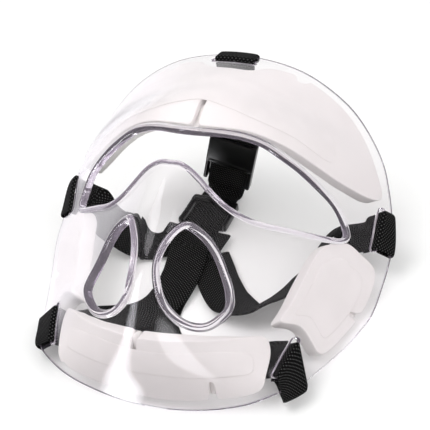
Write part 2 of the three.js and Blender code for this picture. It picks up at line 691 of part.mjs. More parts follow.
// Plastic sliders: two rails joined by bars behind the webbing and a plate in front of it
function roundedPlate(width, length, depth, middleY, lowZ) {
  const shape = new THREE.Shape();
  const right = width / 2;
  const top = length / 2;
  const round = Math.min(railRound, right, top);
  shape.absarc(right - round, top - round, round, 0, Math.PI / 2, false);
  shape.absarc(-right + round, top - round, round, Math.PI / 2, Math.PI, false);
  shape.absarc(-right + round, -top + round, round, Math.PI, 1.5 * Math.PI, false);
  shape.absarc(right - round, -top + round, round, 1.5 * Math.PI, 2 * Math.PI, false);
  const geometry = new THREE.ExtrudeGeometry(shape, { depth, bevelEnabled: false, curveSegments: endSteps });
  geometry.translate(0, middleY, lowZ);
  return geometry;
}

function sliderGeometry(length, plateLength, halfStack) {
  const front = halfStack + sliderClearance;
  const full = 2 * (front + barDepth);
  const inner = webWidth / 2 + sliderClearance;
  const wide = 2 * (inner + railWidth);
  const reach = length / 2;
  let solid = toSolid(roundedPlate(wide, plateLength, barDepth, reach - plateLength / 2, front));
  for (const side of [-1, 1]) {
    const rail = roundedPlate(railWidth, length, full, 0, -full / 2);
    rail.translate(side * (inner + railWidth / 2), 0, 0);
    solid = solid.add(toSolid(rail));
    const bar = roundedPlate(wide, sliderBarWidth, barDepth, side * (reach - sliderBarWidth / 2), -full / 2);
    solid = solid.add(toSolid(bar));
  }
  return toGeometry(solid);
}

const buckleShare = (crownTop.z - crownBuckleHeight) / (crownTop.z - crownFoot.z);
const buckleMiddle = crownTop.clone().lerp(crownFoot, buckleShare);
const buckleStack = webThickness + fitGap / 2;
addSeated(
  'crown_buckle',
  sliderGeometry(crownBuckleLength, crownPlateLength, buckleStack),
  buckleMiddle,
  hangWay,
  hangDown.clone().negate(),
  blackPlastic,
);
const sliderMiddle = crownLanding.clone().addScaledVector(groundAlong, rearSliderPlace);
addSeated(
  'rear_slider',
  sliderGeometry(rearSliderLength, rearPlateLength, webThickness / 2),
  sliderMiddle,
  groundWay,
  groundAlong.clone().negate(),
  blackPlastic,
);

// Sewn patch that holds the straps together at the back of the head, and its stitching
const patch = roundedPlate(patchWidth, patchLength, patchThickness, 0, patchLow);
const patchMiddle = place(patchShares);
patch.rotateZ(patchTurn);
patch.translate(patchMiddle.x, patchMiddle.y, 0);
addPart(mask, 'back_patch', patch, blackWeb);

const squareLow = layerHeight(overPatch) + webThickness / 2 + fitGap;
const squareInside = stitchSquare - 2 * stitchWidth;
const square = toSolid(roundedPlate(stitchSquare, stitchSquare, stitchRise, 0, squareLow));
const squareHole = toSolid(roundedPlate(squareInside, squareInside, cutOverrun, 0, 0));
const squareGeometry = toGeometry(square.subtract(squareHole));
squareGeometry.rotateZ(patchTurn);
squareGeometry.translate(patchMiddle.x, patchMiddle.y, 0);
addPart(mask, 'patch_stitching', squareGeometry, blackThread);

// The part stands on the ground with its origin under the middle of its length
const whole = new THREE.Group();
const bounds = new THREE.Box3().setFromObject(mask, true);
mask.position.y = -bounds.getCenter(new THREE.Vector3()).y;
whole.add(mask);

export default whole;
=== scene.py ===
import math

import bpy
import numpy as np
from mathutils import Matrix, Vector
from mathutils.geometry import delaunay_2d_cdt


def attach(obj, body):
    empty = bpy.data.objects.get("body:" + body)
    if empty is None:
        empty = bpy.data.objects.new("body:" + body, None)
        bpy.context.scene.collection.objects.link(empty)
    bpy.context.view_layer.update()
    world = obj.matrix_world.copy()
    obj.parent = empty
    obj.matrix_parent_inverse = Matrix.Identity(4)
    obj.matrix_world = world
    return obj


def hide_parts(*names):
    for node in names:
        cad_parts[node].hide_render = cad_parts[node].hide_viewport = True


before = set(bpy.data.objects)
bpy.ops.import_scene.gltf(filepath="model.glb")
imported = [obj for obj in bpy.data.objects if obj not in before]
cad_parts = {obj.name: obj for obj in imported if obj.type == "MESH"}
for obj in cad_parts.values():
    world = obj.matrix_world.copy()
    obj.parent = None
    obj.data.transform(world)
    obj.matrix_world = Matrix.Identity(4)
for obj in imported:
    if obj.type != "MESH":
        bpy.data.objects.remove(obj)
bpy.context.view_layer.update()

MASK = "mask"
BUCKLE = "crown_buckle_body"
SLIDER = "rear_slider_body"
MM = 0.001

# Driving sizes, in millimetres, as in the construction
HALF_WIDTH = 107.0
HALF_HEIGHT = 112.5
NOSE_HEIGHT = 107.5
WALL = 3.4
LYING = math.radians(32)
ROW_SHIFT = 15.26
FACE_LIFT = 27.94
FOAM_THICKNESS = 8.5
WEB_WIDTH = 25.0
WEB_THICKNESS = 1.6
FIT_GAP = 0.3
SLOT_LENGTH = 28.0
SLOT_WIDTH = 4.4
SLIDER_CLEARANCE = 0.4
RAIL_WIDTH = 2.8
BAR_DEPTH = 1.5
BAR_WIDTH = 3.4
BUCKLE_LENGTH = 36.0
BUCKLE_PLATE = 21.0
BUCKLE_HEIGHT = 30.0
REAR_LENGTH = 24.0
REAR_PLATE = 6.0
REAR_PLACE = 18.5
BARTACK_WIDTH = 8.0
BARTACK_LENGTH = 2.6
BARTACK_SHARE = 0.45
PATCH_SIZE = (42.0, 25.0, 1.2)
STITCH_SQUARE = 17.0
WEB_LIFT = 0.4
LAYER_PITCH = WEB_THICKNESS + FIT_GAP
PROBE = 0.5

# Sizes of the scene alone: tape and foam close under the shell, loops, thread and floor
TAPE_GAP, TAPE_THICKNESS, FOAM_GAP = 0.2, 0.2, 0.1
TAPE_TOP = WALL + TAPE_GAP
FOAM_TOP = TAPE_TOP + TAPE_THICKNESS + FOAM_GAP
LOOP_CLEARANCE = 0.45
LOOP_ROUND = 1.4
THREAD_RADIUS = 0.3
FLOOR_GAP = 0.3

# Steps of curves and corners, and spacing of the points inside a surface
CURVE_STEPS = 24
CAPSULE_STEPS = 40
CORNER_STEPS = 9
PLAN_STEPS = 7
ROUND_STEPS, PAD_ROUND_STEPS = 5, 4
BEAD_STEPS = 12
SLOT_POINTS = 96
SHELL_SPACING, PAD_SPACING = 2.2, 4.0

# Height of the middle line, fall to the temples and roundness of the section, chin to crown
PROFILE_SHARES = [
    (-1.12, 0.17), (-1, 0.36), (-0.89, 0.565), (-0.765, 0.72), (-0.62, 0.857),
    (-0.445, 0.98), (-0.27, 1), (-0.09, 0.995), (0.105, 0.945), (0.32, 0.78),
    (0.535, 0.7), (0.755, 0.485), (0.925, 0.297), (1.02, 0.18), (1.12, 0.05),
]
FALL_SHARES = [
    (-1.12, 0.18), (-0.98, 0.33), (-0.82, 0.54), (-0.667, 0.87), (-0.49, 1.07),
    (-0.31, 1.145), (-0.1, 1.13), (0.1, 1.115), (0.267, 0.985), (0.43, 0.973),
    (0.58, 0.97), (0.73, 0.845), (0.925, 0.615), (1.02, 0.455), (1.12, 0.3),
]
ROUNDNESS_SHARES = [
    (-1.12, 0.7), (-0.84, 0.9), (-0.667, 0.85), (-0.445, 0.24), (-0.27, 0.19),
    (0.09, 0.19), (0.285, 0.73), (0.445, 1.4), (0.71, 0.65), (1.12, 0.8),
]

# Half outlines as shares of half width and half height, from crown to chin
RIM_SHARES = [
    (0, 1), (0.187, 0.99), (0.374, 0.958), (0.52, 0.902), (0.67, 0.816), (0.785, 0.702),
    (0.885, 0.551), (0.95, 0.373), (0.993, 0.178), (1, 0), (0.984, -0.178), (0.96, -0.3),
    (0.925, -0.4), (0.885, -0.5), (0.813, -0.649), (0.738, -0.778), (0.645, -0.85),
    (0.533, -0.913), (0.393, -0.958), (0.206, -0.993), (0, -1.006),
]
EYE_SHARES = [
    (0, 0.333), (0.093, 0.338), (0.187, 0.351), (0.28, 0.36), (0.374, 0.354), (0.467, 0.324),
    (0.56, 0.289), (0.645, 0.24), (0.72, 0.187), (0.766, 0.124), (0.785, 0.071),
    (0.766, 0.05), (0.682, 0.022), (0.542, -0.01), (0.43, -0.036), (0.355, -0.036),
    (0.28, -0.015), (0.206, 0.031), (0.16, 0.067), (0.1, 0.104), (0.047, 0.12), (0, 0.118),
]
BREATH_SHARES = [
    (0.164, -0.209), (0.23, -0.231), (0.285, -0.284), (0.332, -0.364), (0.37, -0.444),
    (0.383, -0.516), (0.355, -0.573), (0.304, -0.622), (0.243, -0.636), (0.173, -0.618),
    (0.117, -0.569), (0.089, -0.489), (0.08, -0.418), (0.089, -0.347), (0.108, -0.289),
    (0.136, -0.236),
]
FOREHEAD_PAD_SHARES = [
    (0, 0.875), (0.13, 0.882), (0.2, 0.93), (0.36, 0.932), (0.505, 0.88), (0.645, 0.8),
    (0.755, 0.69), (0.852, 0.54), (0.915, 0.4), (0.92, 0.352), (0.88, 0.33), (0.82, 0.328),
    (0.737, 0.335), (0.641, 0.36), (0.543, 0.388), (0.43, 0.41), (0.28, 0.416),
    (0.187, 0.405), (0, 0.39),
]
CHIN_PAD_SHARES = [
    (0, -0.75), (0.168, -0.735), (0.355, -0.687), (0.495, -0.622), (0.57, -0.585),
    (0.6, -0.64), (0.598, -0.76), (0.58, -0.85), (0.5, -0.9), (0.35, -0.94),
    (0.187, -0.968), (0, -0.98),
]
SIDE_PAD_SHARES = [
    (0.71, -0.03), (0.75, 0.015), (0.81, 0.05), (0.88, 0.02), (0.945, -0.02), (0.962, -0.1),
    (0.95, -0.2), (0.92, -0.31), (0.875, -0.43), (0.835, -0.53), (0.8, -0.58), (0.75, -0.525),
    (0.69, -0.465), (0.605, -0.485), (0.625, -0.4), (0.665, -0.22),
]
FOREHEAD_TAPE_SHARES = [
    (0, 0.8), (0.25, 0.77), (0.5, 0.7), (0.66, 0.55), (0.68, 0.42), (0.5, 0.47), (0.3, 0.5),
    (0.12, 0.54), (0, 0.56),
]
CHIN_TAPE_SHARES = [
    (0, -0.8), (0.2, -0.78), (0.42, -0.72), (0.52, -0.7), (0.53, -0.78), (0.4, -0.84),
    (0.2, -0.88), (0, -0.89),
]
SIDE_TAPE_SHARE = 0.7

# Notches: middle, which way each runs in from its mouth, and its length and width as shares
FOREHEAD_NOTCH_SHARES = [
    (0.01, 0.475, 1, 1.4, 1), (0.4, 0.965, -1, 1, 2.4), (-0.4, 0.965, -1, 1, 2.4),
]
CHIN_NOTCH_SHARES = [(-0.55, -0.95, 1, 1, 1), (-0.08, -0.79, -1, 1, 1), (0.325, -0.955, 1, 1, 1)]
SIDE_NOTCH_SHARES = [(0.93, -0.31, -1, 1, 1)]
NOTCH_WIDTH = 3.4
NOTCH_LENGTH = 19.0
SIDE_NOTCH_LENGTH = 14.0
NOTCH_DEPTH = 3.2

# Strap slots: middle, turn of the long side, and how far the loop drops behind the shell
SLOTS = {
    "crown": ((0, 0.929), 0.0, 6.0),
    "temple": ((0.921, 0.178), math.radians(88), 9.0),
    "jaw": ((0.657, -0.658), math.radians(76), 5.0),
}
# How far the right jaw loop leans to the chin, and how far slack loops stand out from the rim
JAW_LEAN = 1.0
LOOP_SLACK = {("temple", -1): 3.0, ("jaw", -1): 2.2, ("jaw", 1): 3.0}


def unit(v):
    return v / np.linalg.norm(v, axis=-1, keepdims=True)


def cross(a, b):
    return a[0] * b[1] - a[1] * b[0]


# Smooth curve through a table of shares
def smooth(table, at):
    xs, ys = np.array(table, float).T
    slopes = np.empty_like(xs)
    slopes[1:-1] = (ys[2:] - ys[:-2]) / (xs[2:] - xs[:-2])
    slopes[0] = (ys[1] - ys[0]) / (xs[1] - xs[0])
    slopes[-1] = (ys[-1] - ys[-2]) / (xs[-1] - xs[-2])
    at = np.asarray(at, float)
    k = np.clip(np.searchsorted(xs, at, side="left") - 1, 0, len(xs) - 2)
    span = xs[k + 1] - xs[k]
    t = np.clip((at - xs[k]) / span, 0, 1)
    ease = t * t * (3 - 2 * t)
    leave = t * (1 - t) ** 2 * span * slopes[k]
    arrive = t * t * (t - 1) * span * slopes[k + 1]
    return ys[k] + (ys[k + 1] - ys[k]) * ease + leave + arrive


# Outer surface of the shell, in the face frame
def surface_height(x, y):
    along = np.asarray(y, float) / HALF_HEIGHT
    across = np.asarray(x, float) / HALF_WIDTH
    roundness = smooth(ROUNDNESS_SHARES, along)
    arch = np.hypot(across, roundness) - roundness
    full = np.hypot(1, roundness) - roundness
    middle = smooth(PROFILE_SHARES, along)
    return NOSE_HEIGHT * (middle - smooth(FALL_SHARES, along) * arch / full)


def surface_points(spots, depth):
    x, y = spots[:, 0], spots[:, 1]
    slope_x = surface_height(x + PROBE, y) - surface_height(x - PROBE, y)
    slope_y = surface_height(x, y + PROBE) - surface_height(x, y - PROBE)
    normal = unit(np.stack([-slope_x, -slope_y, np.full_like(slope_x, 2 * PROBE)], -1))
    spot = np.stack([x, y, surface_height(x, y)], -1)
    return spot - normal * np.broadcast_to(depth, x.shape)[:, None]


# How much longer the surface is than the face plane, from each spot along its way
def stretch(spots, ways):
    rise = surface_height(*(spots + ways * PROBE).T) - surface_height(*spots.T)
    return np.hypot(rise, PROBE) / PROBE


# From the face frame to the lying mask
def lying(points):
    points = np.asarray(points, float)
    x, y, z = points[..., 0], points[..., 1], points[..., 2]
    c, s = math.cos(LYING), math.sin(LYING)
    return np.stack([x, y * c - z * s + ROW_SHIFT, y * s + z * c + FACE_LIFT], -1)


# What would dip below the floor is pressed flat on it
def above_floor(points, lowest):
    points[:, 2] = np.maximum(points[:, 2], lowest)
    return points


# Centripetal Catmull-Rom curve, at places counted in spans from the first point
def catmull(points, places, closed):
    points = np.asarray(points, float)
    count = len(points)
    spans = count if closed else count - 1
    places = np.asarray(places, float)
    k = np.clip(np.floor(places).astype(int), 0, spans - 1)
    t = (places - k)[:, None]
    if closed:
        p0, p1, p2, p3 = (points[(k + j) % count] for j in (-1, 0, 1, 2))
    else:
        padded = np.vstack([2 * points[0] - points[1], points, 2 * points[-1] - points[-2]])
        p0, p1, p2, p3 = (padded[k + j] for j in (0, 1, 2, 3))
    d0, d1, d2 = (np.maximum(np.linalg.norm(b - a, axis=1, keepdims=True) ** 0.5, 1e-4)
                  for a, b in ((p0, p1), (p1, p2), (p2, p3)))
    m1 = ((p1 - p0) / d0 - (p2 - p0) / (d0 + d1) + (p2 - p1) / d1) * d1
    m2 = ((p2 - p1) / d1 - (p3 - p1) / (d1 + d2) + (p3 - p2) / d2) * d1
    return p1 + m1 * t + (3 * (p2 - p1) - 2 * m1 - m2) * t ** 2 + (2 * (p1 - p2) + m1 + m2) * t ** 3


def travelled(points):
    return np.concatenate([[0], np.cumsum(np.linalg.norm(np.diff(points, axis=0), axis=1))])


def spaced(points, count, closed):
    if closed:
        points = np.vstack([points, points[:1]])
    far = travelled(points)
    at = np.linspace(0, far[-1], count + 1)[:count] if closed else np.linspace(0, far[-1], count)
    return np.stack([np.interp(at, far, points[:, j]) for j in range(points.shape[1])], 1)


def place(shares):
    return np.array(shares, float) * (HALF_WIDTH, HALF_HEIGHT)


# Outlines in the face plane run anticlockwise
def signed_area(loop):
    return 0.5 * np.sum(cross(loop.T, np.roll(loop, -1, 0).T))


def outline(corners, count, mirrored=False):
    corners = place(corners)
    if mirrored:
        corners = np.vstack([corners, corners[1:-1][::-1] * (-1, 1)])
    count_fine = CURVE_STEPS * len(corners)
    fine = catmull(corners, np.linspace(0, len(corners), count_fine, endpoint=False), True)
    loop = spaced(fine, count, True)
    return loop if signed_area(loop) > 0 else loop[::-1]


def flipped(loop):
    return (loop * (-1, 1))[::-1]


def capsule(middle, length, width, turn, count):
    radius = width / 2
    reach = max(length / 2 - radius, radius)
    half = np.linspace(-math.pi / 2, math.pi / 2, CAPSULE_STEPS)
    right = np.stack([reach + radius * np.cos(half), radius * np.sin(half)], 1)
    loop = spaced(np.vstack([right, -right]), count, True)
    c, s = math.cos(turn), math.sin(turn)
    return loop @ np.array([[c, s], [-s, c]]) + middle


def added(name, data):
    made = bpy.data.objects.new(name, data)
    bpy.context.scene.collection.objects.link(made)
    return made


# A piece of the mask, which replaces the construction node of its own name if none is given
def add_mesh(name, points, faces, finish, body=MASK, node=None, uvs=None, edge=None):
    material, slot = finish
    mesh = bpy.data.meshes.new(name)
    mesh.from_pydata((np.asarray(points) * MM).tolist(), [], [list(map(int, f)) for f in faces])
    mesh.validate()
    mesh.update()
    mesh.polygons.foreach_set("use_smooth", [True] * len(mesh.polygons))
    if uvs is not None:
        layer = mesh.uv_layers.new(name="UVMap")
        corner = np.zeros(len(mesh.loops), int)
        mesh.loops.foreach_get("vertex_index", corner)
        layer.data.foreach_set("uv", np.asarray(uvs, float)[corner].ravel())
    if edge is not None:
        layer = mesh.attributes.new("edge", "FLOAT", "POINT")
        layer.data.foreach_set("value", np.asarray(edge, float))
    piece = added(name, mesh)
    piece.data.materials.append(material)
    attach(piece, body)
    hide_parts(node or name)
    return piece


# Faces between rings of points that follow each other, each ring closed
def ring_faces(rings, count, base=0):
    faces = []
    for r in range(rings - 1):
        here, there = base + r * count, base + (r + 1) * count
        for k in range(count):
            n = (k + 1) % count
            faces.append((here + k, here + n, there + n, there + k))
    return faces


def cap_faces(rings, count):
    return [tuple(range(count))[::-1], tuple((rings - 1) * count + k for k in range(count))]


def tube_faces(rings, count):
    return cap_faces(rings, count) + ring_faces(rings, count)


def joined(pieces):
    points, faces, base = [], [], 0
    for some, some_faces in pieces:
        faces += [tuple(base + k for k in face) for face in some_faces]
        points.append(some)
        base += len(some)
    return np.vstack(points), faces


def inside(points, loop):
    x, y = points[:, 0], points[:, 1]
    hit = np.zeros(len(points), bool)
    for a, b in zip(loop, np.roll(loop, -1, 0)):
        crosses = (a[1] > y) != (b[1] > y)
        if crosses.any():
            at = a[0] + (y - a[1]) / (b[1] - a[1] + 1e-12) * (b[0] - a[0])
            hit ^= crosses & (x < at)
    return hit


def inward_ways(loop):
    along = unit(np.roll(loop, -1, 0) - np.roll(loop, 1, 0))
    return np.stack([-along[:, 1], along[:, 0]], 1)


# Rounded rims of a body: (way in from the edge, level) from its first face to its second
def rim_rings(first, second, radius, steps=ROUND_STEPS):
    turn = np.linspace(0, math.pi / 2, steps)
    corner = [(radius * (1 - math.sin(a)), radius * (1 - math.cos(a))) for a in turn]
    rings = [(inset, first + fall) for inset, fall in corner]
    return rings + [(inset, second - fall) for inset, fall in corner[::-1]]


# Edge profiles: (way in from the edge, depth) from the outer face round to the inner face
def rounded_edge(top, bottom, radius, reach, steps=ROUND_STEPS):
    return [(reach, top), *rim_rings(top, bottom, radius, steps), (reach, bottom)]


# How far round and how full a bead is, and the depths of its straight side
BEAD_TURN, BEAD_FULLNESS = math.pi * 0.82, 0.9
BEAD_SIDE = (0.25 * WALL, 0.6 * WALL)


def beaded_edge(width, rise, radius, reach):
    turn = np.linspace(0, BEAD_TURN, BEAD_STEPS)
    bead = [(width * (0.5 + 0.5 * math.cos(a)), -rise * math.sin(a) ** BEAD_FULLNESS) for a in turn]
    low = rim_rings(0.0, WALL, radius)[ROUND_STEPS:]
    ends = [(reach, 0.0), (0.5 * (reach + width), 0.0)]
    side = [(0.0, depth) for depth in BEAD_SIDE]
    return ends + bead + side + low + [(0.5 * (reach + radius), WALL), (reach, WALL)]


# Faces round the edges, and for each loop its innermost ring with its first and last points
def edge_bands(loops):
    points, faces, edge, ends, base = [], [], [], [], 0
    for loop, is_hole, profile in loops:
        way = inward_ways(loop) * (-1 if is_hole else 1)
        count, rings, longer = len(loop), len(profile), stretch(loop, way)
        spots = [loop + way * (inset / longer)[:, None] for inset, _ in profile]
        for r, (spot, (_, depth)) in enumerate(zip(spots, profile)):
            edge += [float(1 < r < rings - 2)] * count
            points.append(surface_points(spot, depth))
        quads = ring_faces(rings, count, base)
        faces += quads if is_hole else [quad[::-1] for quad in quads]
        ends.append((spots[0], is_hole, base, base + (rings - 1) * count))
        base += rings * count
    return np.vstack(points), faces, edge, ends


def in_material(points, ends):
    kept = np.ones(len(points), bool)
    for ring, is_hole, _, _ in ends:
        kept &= inside(points, ring) != is_hole
    return kept


# Inner points stand in shifted rows and keep clear of the edges
ROW_SHARE = 0.87
CLEAR_SHARE = 0.6
CHUNK = 40


def inner_points(ends, spacing):
    low, high = ends[0][0].min(0), ends[0][0].max(0)
    xs = np.arange(low[0], high[0], spacing)
    ys = np.arange(low[1], high[1], spacing * ROW_SHARE)
    grid = np.array([(x + (j % 2) * spacing / 2, y) for j, y in enumerate(ys) for x in xs])
    keep = in_material(grid, ends)
    for ring, *_ in ends:
        for chunk in np.array_split(ring, max(1, len(ring) // CHUNK)):
            gap = np.linalg.norm(grid[:, None] - chunk[None], axis=2).min(1)
            keep &= gap > CLEAR_SHARE * spacing
    return grid[keep]


# A closed sheet bent on the surface: loops are (outline, is hole, edge profile)
def sheet(loops, top, bottom, spacing):
    points, faces, edge, ends = edge_bands(loops)
    grid = inner_points(ends, spacing)
    edges, outer, inner, start = [], [], [], 0
    for ring, _, first, last in ends:
        count = len(ring)
        edges += [(start + k, start + (k + 1) % count) for k in range(count)]
        outer += range(first, first + count)
        inner += range(last, last + count)
        start += count
    base = len(points)
    outer += range(base, base + len(grid))
    inner += range(base + len(grid), base + 2 * len(grid))
    flat = [Vector(spot) for spot in np.vstack([*(end[0] for end in ends), grid])]
    verts, _, tris, origin, _, _ = delaunay_2d_cdt(flat, edges, [], 0, 1e-5)
    verts = np.array([tuple(v) for v in verts])
    tris = np.array([list(t) for t in tris])
    for tri in tris[in_material(verts[tris].mean(1), ends)]:
        pa, pb, pc = verts[tri]
        a, b, c = (origin[k][0] for k in tri)
        if cross(pb - pa, pc - pa) < 0:
            b, c = c, b
        faces += [(outer[a], outer[b], outer[c]), (inner[a], inner[c], inner[b])]
    points = np.vstack([points, surface_points(grid, top), surface_points(grid, bottom)])
    return points, faces, edge + [0.0] * (len(points) - len(edge))


# Slots cut square to the surface
def slot_frame(name, side):
    shares, turn, drop = SLOTS[name]
    middle = place(shares) * (side, 1)
    lie = math.pi - turn if side < 0 else turn
    along = np.array([math.cos(lie), math.sin(lie)])
    outward = np.array([along[1], -along[0]])
    if outward @ middle < 0:
        outward = -outward
    along_stretch, out_stretch = stretch(middle, along), stretch(middle, outward)
    size = (SLOT_LENGTH / along_stretch, SLOT_WIDTH / out_stretch)
    return {
        "middle": middle, "along": along, "outward": outward, "drop": drop,
        "lean": JAW_LEAN if name == "jaw" and side > 0 else 0.0,
        "slack": LOOP_SLACK.get((name, side), 0.0),
        "along_stretch": along_stretch, "out_stretch": out_stretch,
        "outline": capsule(middle, *size, lie, SLOT_POINTS),
    }


SLOT_FRAMES = {"crown": slot_frame("crown", 1)}
for side, side_name in ((-1, "left"), (1, "right")):
    for slot_name in ("temple", "jaw"):
        SLOT_FRAMES[f"{slot_name}_{side_name}"] = slot_frame(slot_name, side)

rim_outline = outline(RIM_SHARES, 420, mirrored=True)
eye_outline = outline(EYE_SHARES, 360, mirrored=True)
breath_outline = outline(BREATH_SHARES, 170)


# Materials
def new_material(name):
    material = bpy.data.materials.new(name)
    material.use_nodes = True
    tree = material.node_tree
    return material, tree, tree.nodes["Principled BSDF"]


# A shader node, with the sockets that feed its inputs and with its other values
def node(tree, kind, fed=None, **values):
    made = tree.nodes.new(kind)
    for key, value in values.items():
        if key in made.bl_rna.properties:
            setattr(made, key, value)
        else:
            made.inputs[key].default_value = value
    for key, socket in (fed or {}).items():
        tree.links.new(socket, made.inputs[key])
    return made


# A value worked out from sockets and plain numbers
def worked(tree, operation, *terms, kind="ShaderNodeMath", **values):
    made = node(tree, kind, operation=operation, **values)
    for socket, term in zip(made.inputs, terms):
        if isinstance(term, float):
            socket.default_value = term
        else:
            tree.links.new(term, socket)
    return made.outputs[0]


def mixed(tree, share, first, second):
    fed = {0: share, 1: first.outputs[0], 2: second.outputs[0]}
    return node(tree, "ShaderNodeMixShader", fed)


def texture(tree, kind, **values):
    where = node(tree, "ShaderNodeTexCoord").outputs["Object"]
    return node(tree, kind, {"Vector": where}, **values)


def coloured(tree, shader, factor, *stops):
    tree.links.new(ramp(tree, factor, stops), shader.inputs["Base Color"])


def bumped(tree, shader, height, strength, distance):
    bump = node(tree, "ShaderNodeBump", {"Height": height}, Strength=strength, Distance=distance)
    tree.links.new(bump.outputs["Normal"], shader.inputs["Normal"])


def grey(value):
    return (value, value, value)


def ramp(tree, factor, stops):
    made = tree.nodes.new("ShaderNodeValToRGB")
    made.color_ramp.elements.remove(made.color_ramp.elements[1])
    for k, (at, colour) in enumerate(stops):
        element = made.color_ramp.elements[0] if k == 0 else made.color_ramp.elements.new(at)
        element.position = at
        element.color = (*colour, 1)
    tree.links.new(factor, made.inputs["Fac"])
    return made.outputs["Color"]


# The rim is a little milky, light passes through the wall, and thick places look tinted
def clear_plastic():
    material, tree, shader = new_material("clear_plastic")
    shader.inputs["Base Color"].default_value = (0.985, 0.972, 0.972, 1)
    shader.inputs["Roughness"].default_value = 0.02
    shader.inputs["IOR"].default_value = 1.5
    shader.inputs["Transmission Weight"].default_value = 1.0
    shader.inputs["Specular Tint"].default_value = (0.45, 0.44, 0.46, 1)
    rim = node(tree, "ShaderNodeBsdfPrincipled")
    rim.inputs["Base Color"].default_value = (0.86, 0.76, 0.9, 1)
    rim.inputs["Roughness"].default_value = 0.12
    weight = node(tree, "ShaderNodeAttribute", attribute_name="edge")
    share = worked(tree, "MULTIPLY", weight.outputs["Fac"], 0.17)
    clear = node(tree, "ShaderNodeBsdfTransparent")
    clear.inputs["Color"].default_value = (0.985, 0.98, 0.985, 1)
    shadow = node(tree, "ShaderNodeLightPath").outputs["Is Shadow Ray"]
    mix = mixed(tree, shadow, mixed(tree, share, shader, rim), clear)
    out = tree.nodes["Material Output"]
    tree.links.new(mix.outputs["Shader"], out.inputs["Surface"])
    inside_tint = node(tree, "ShaderNodeVolumeAbsorption")
    inside_tint.inputs["Color"].default_value = (0.62, 0.45, 0.78, 1)
    inside_tint.inputs["Density"].default_value = 7.0
    tree.links.new(inside_tint.outputs["Volume"], out.inputs["Volume"])
    return material


FOAM_DARK, FOAM_LIGHT = (0.875, 0.85, 0.835), (0.91, 0.885, 0.87)


def foam():
    material, tree, shader = new_material("foam")
    cells = texture(tree, "ShaderNodeTexVoronoi", Scale=1400.0)
    cloud = texture(tree, "ShaderNodeTexNoise", Scale=45.0, Detail=4.0)
    coloured(tree, shader, cloud.outputs["Fac"], (0.3, FOAM_DARK), (0.7, FOAM_LIGHT))
    bumped(tree, shader, cells.outputs["Distance"], 0.25, 0.0002)
    shader.inputs["Roughness"].default_value = 0.85
    shader.inputs["Sheen Weight"].default_value = 0.1
    return material


def tape():
    material, tree, shader = new_material("tape")
    cloud = texture(tree, "ShaderNodeTexNoise", Scale=90.0, Detail=3.0)
    coloured(tree, shader, cloud.outputs["Fac"], (0.35, FOAM_DARK), (0.65, FOAM_LIGHT))
    shader.inputs["Roughness"].default_value = 0.8
    return material


# Pitches of the knit, across the band and along it, in metres
KNIT_PITCH = {"X": 0.0024, "Y": 0.0019}


# Black knit with fine pale dots where its two waves meet
def webbing():
    material, tree, shader = new_material("webbing")
    uv = node(tree, "ShaderNodeTexCoord").outputs["UV"]
    split = node(tree, "ShaderNodeSeparateXYZ", {"Vector": uv})
    turns = [worked(tree, "MULTIPLY", split.outputs[axis], 2 * math.pi / pitch)
             for axis, pitch in KNIT_PITCH.items()]
    both = worked(tree, "MULTIPLY", *(worked(tree, "SINE", turn) for turn in turns))
    coloured(tree, shader, both, (0.0, grey(0.003)), (0.5, grey(0.004)), (0.85, grey(0.1)))
    bumped(tree, shader, both, 0.5, 0.00025)
    shader.inputs["Roughness"].default_value = 0.75
    shader.inputs["Specular IOR Level"].default_value = 0.06
    return material


def black_plastic():
    material, tree, shader = new_material("black_plastic")
    grain = texture(tree, "ShaderNodeTexNoise", Scale=2600.0, Detail=2.0)
    bumped(tree, shader, grain.outputs["Fac"], 0.12, 0.0001)
    shader.inputs["Base Color"].default_value = (0.004, 0.004, 0.004, 1)
    shader.inputs["Roughness"].default_value = 0.3
    shader.inputs["Specular IOR Level"].default_value = 0.3
    return material


def thread():
    material, tree, shader = new_material("thread")
    lay = texture(tree, "ShaderNodeTexNoise", Scale=1800.0, Detail=2.0)
    coloured(tree, shader, lay.outputs["Fac"], (0.3, grey(0.005)), (0.7, grey(0.02)))
    shader.inputs["Roughness"].default_value = 0.7
    shader.inputs["Specular IOR Level"].default_value = 0.2
    return material


# A finish pairs a material with a slot name
CLEAR = (clear_plastic(), "clear_shell")
FOAM = (foam(), "foam")
TAPE = (tape(), "adhesive_tape")
WEB = (webbing(), "webbing")
PLASTIC = (black_plastic(), "slider_plastic")
THREAD = (thread(), "thread")


# Edges: radius and reach where plain; width, rise, radius and reach where beaded
RIM_EDGE, SLOT_EDGE, PAD_EDGE = (1.0, 1.9), (0.7, 1.3), (0.7, 0.85)
EYE_EDGE, BREATH_EDGE = (3.2, 1.1, 0.8, 5.0), (3.8, 1.7, 0.9, 5.6)


def build_shell():
    loops = [
        (rim_outline, False, rounded_edge(0.0, WALL, *RIM_EDGE)),
        (eye_outline, True, beaded_edge(*EYE_EDGE)),
        (breath_outline, True, beaded_edge(*BREATH_EDGE)),
        (flipped(breath_outline), True, beaded_edge(*BREATH_EDGE)),
    ]
    slot_edge = rounded_edge(0.0, WALL, *SLOT_EDGE)
    loops += [(fit["outline"], True, slot_edge) for fit in SLOT_FRAMES.values()]
    points, faces, edge = sheet(loops, 0.0, WALL, SHELL_SPACING)
    lain = above_floor(lying(points), 0.0)
    add_mesh("clear_shell", lain, faces, CLEAR, node="mask_shell", edge=edge)


# A notch's floor: how far it runs on under the foam, in at the mouth, and over the pad's back
FLOOR_MARGIN, MOUTH_INSET, FLOOR_SKIN = 0.4, 0.7, 0.1
# Points along a notch's walls, and how cut corners are softened: pitch of the points and passes
WALL_SHARES = np.linspace(0.08, 0.92, 7)
PAD_SOFT, FLOOR_SOFT = (0.9, 8), (0.6, 6)


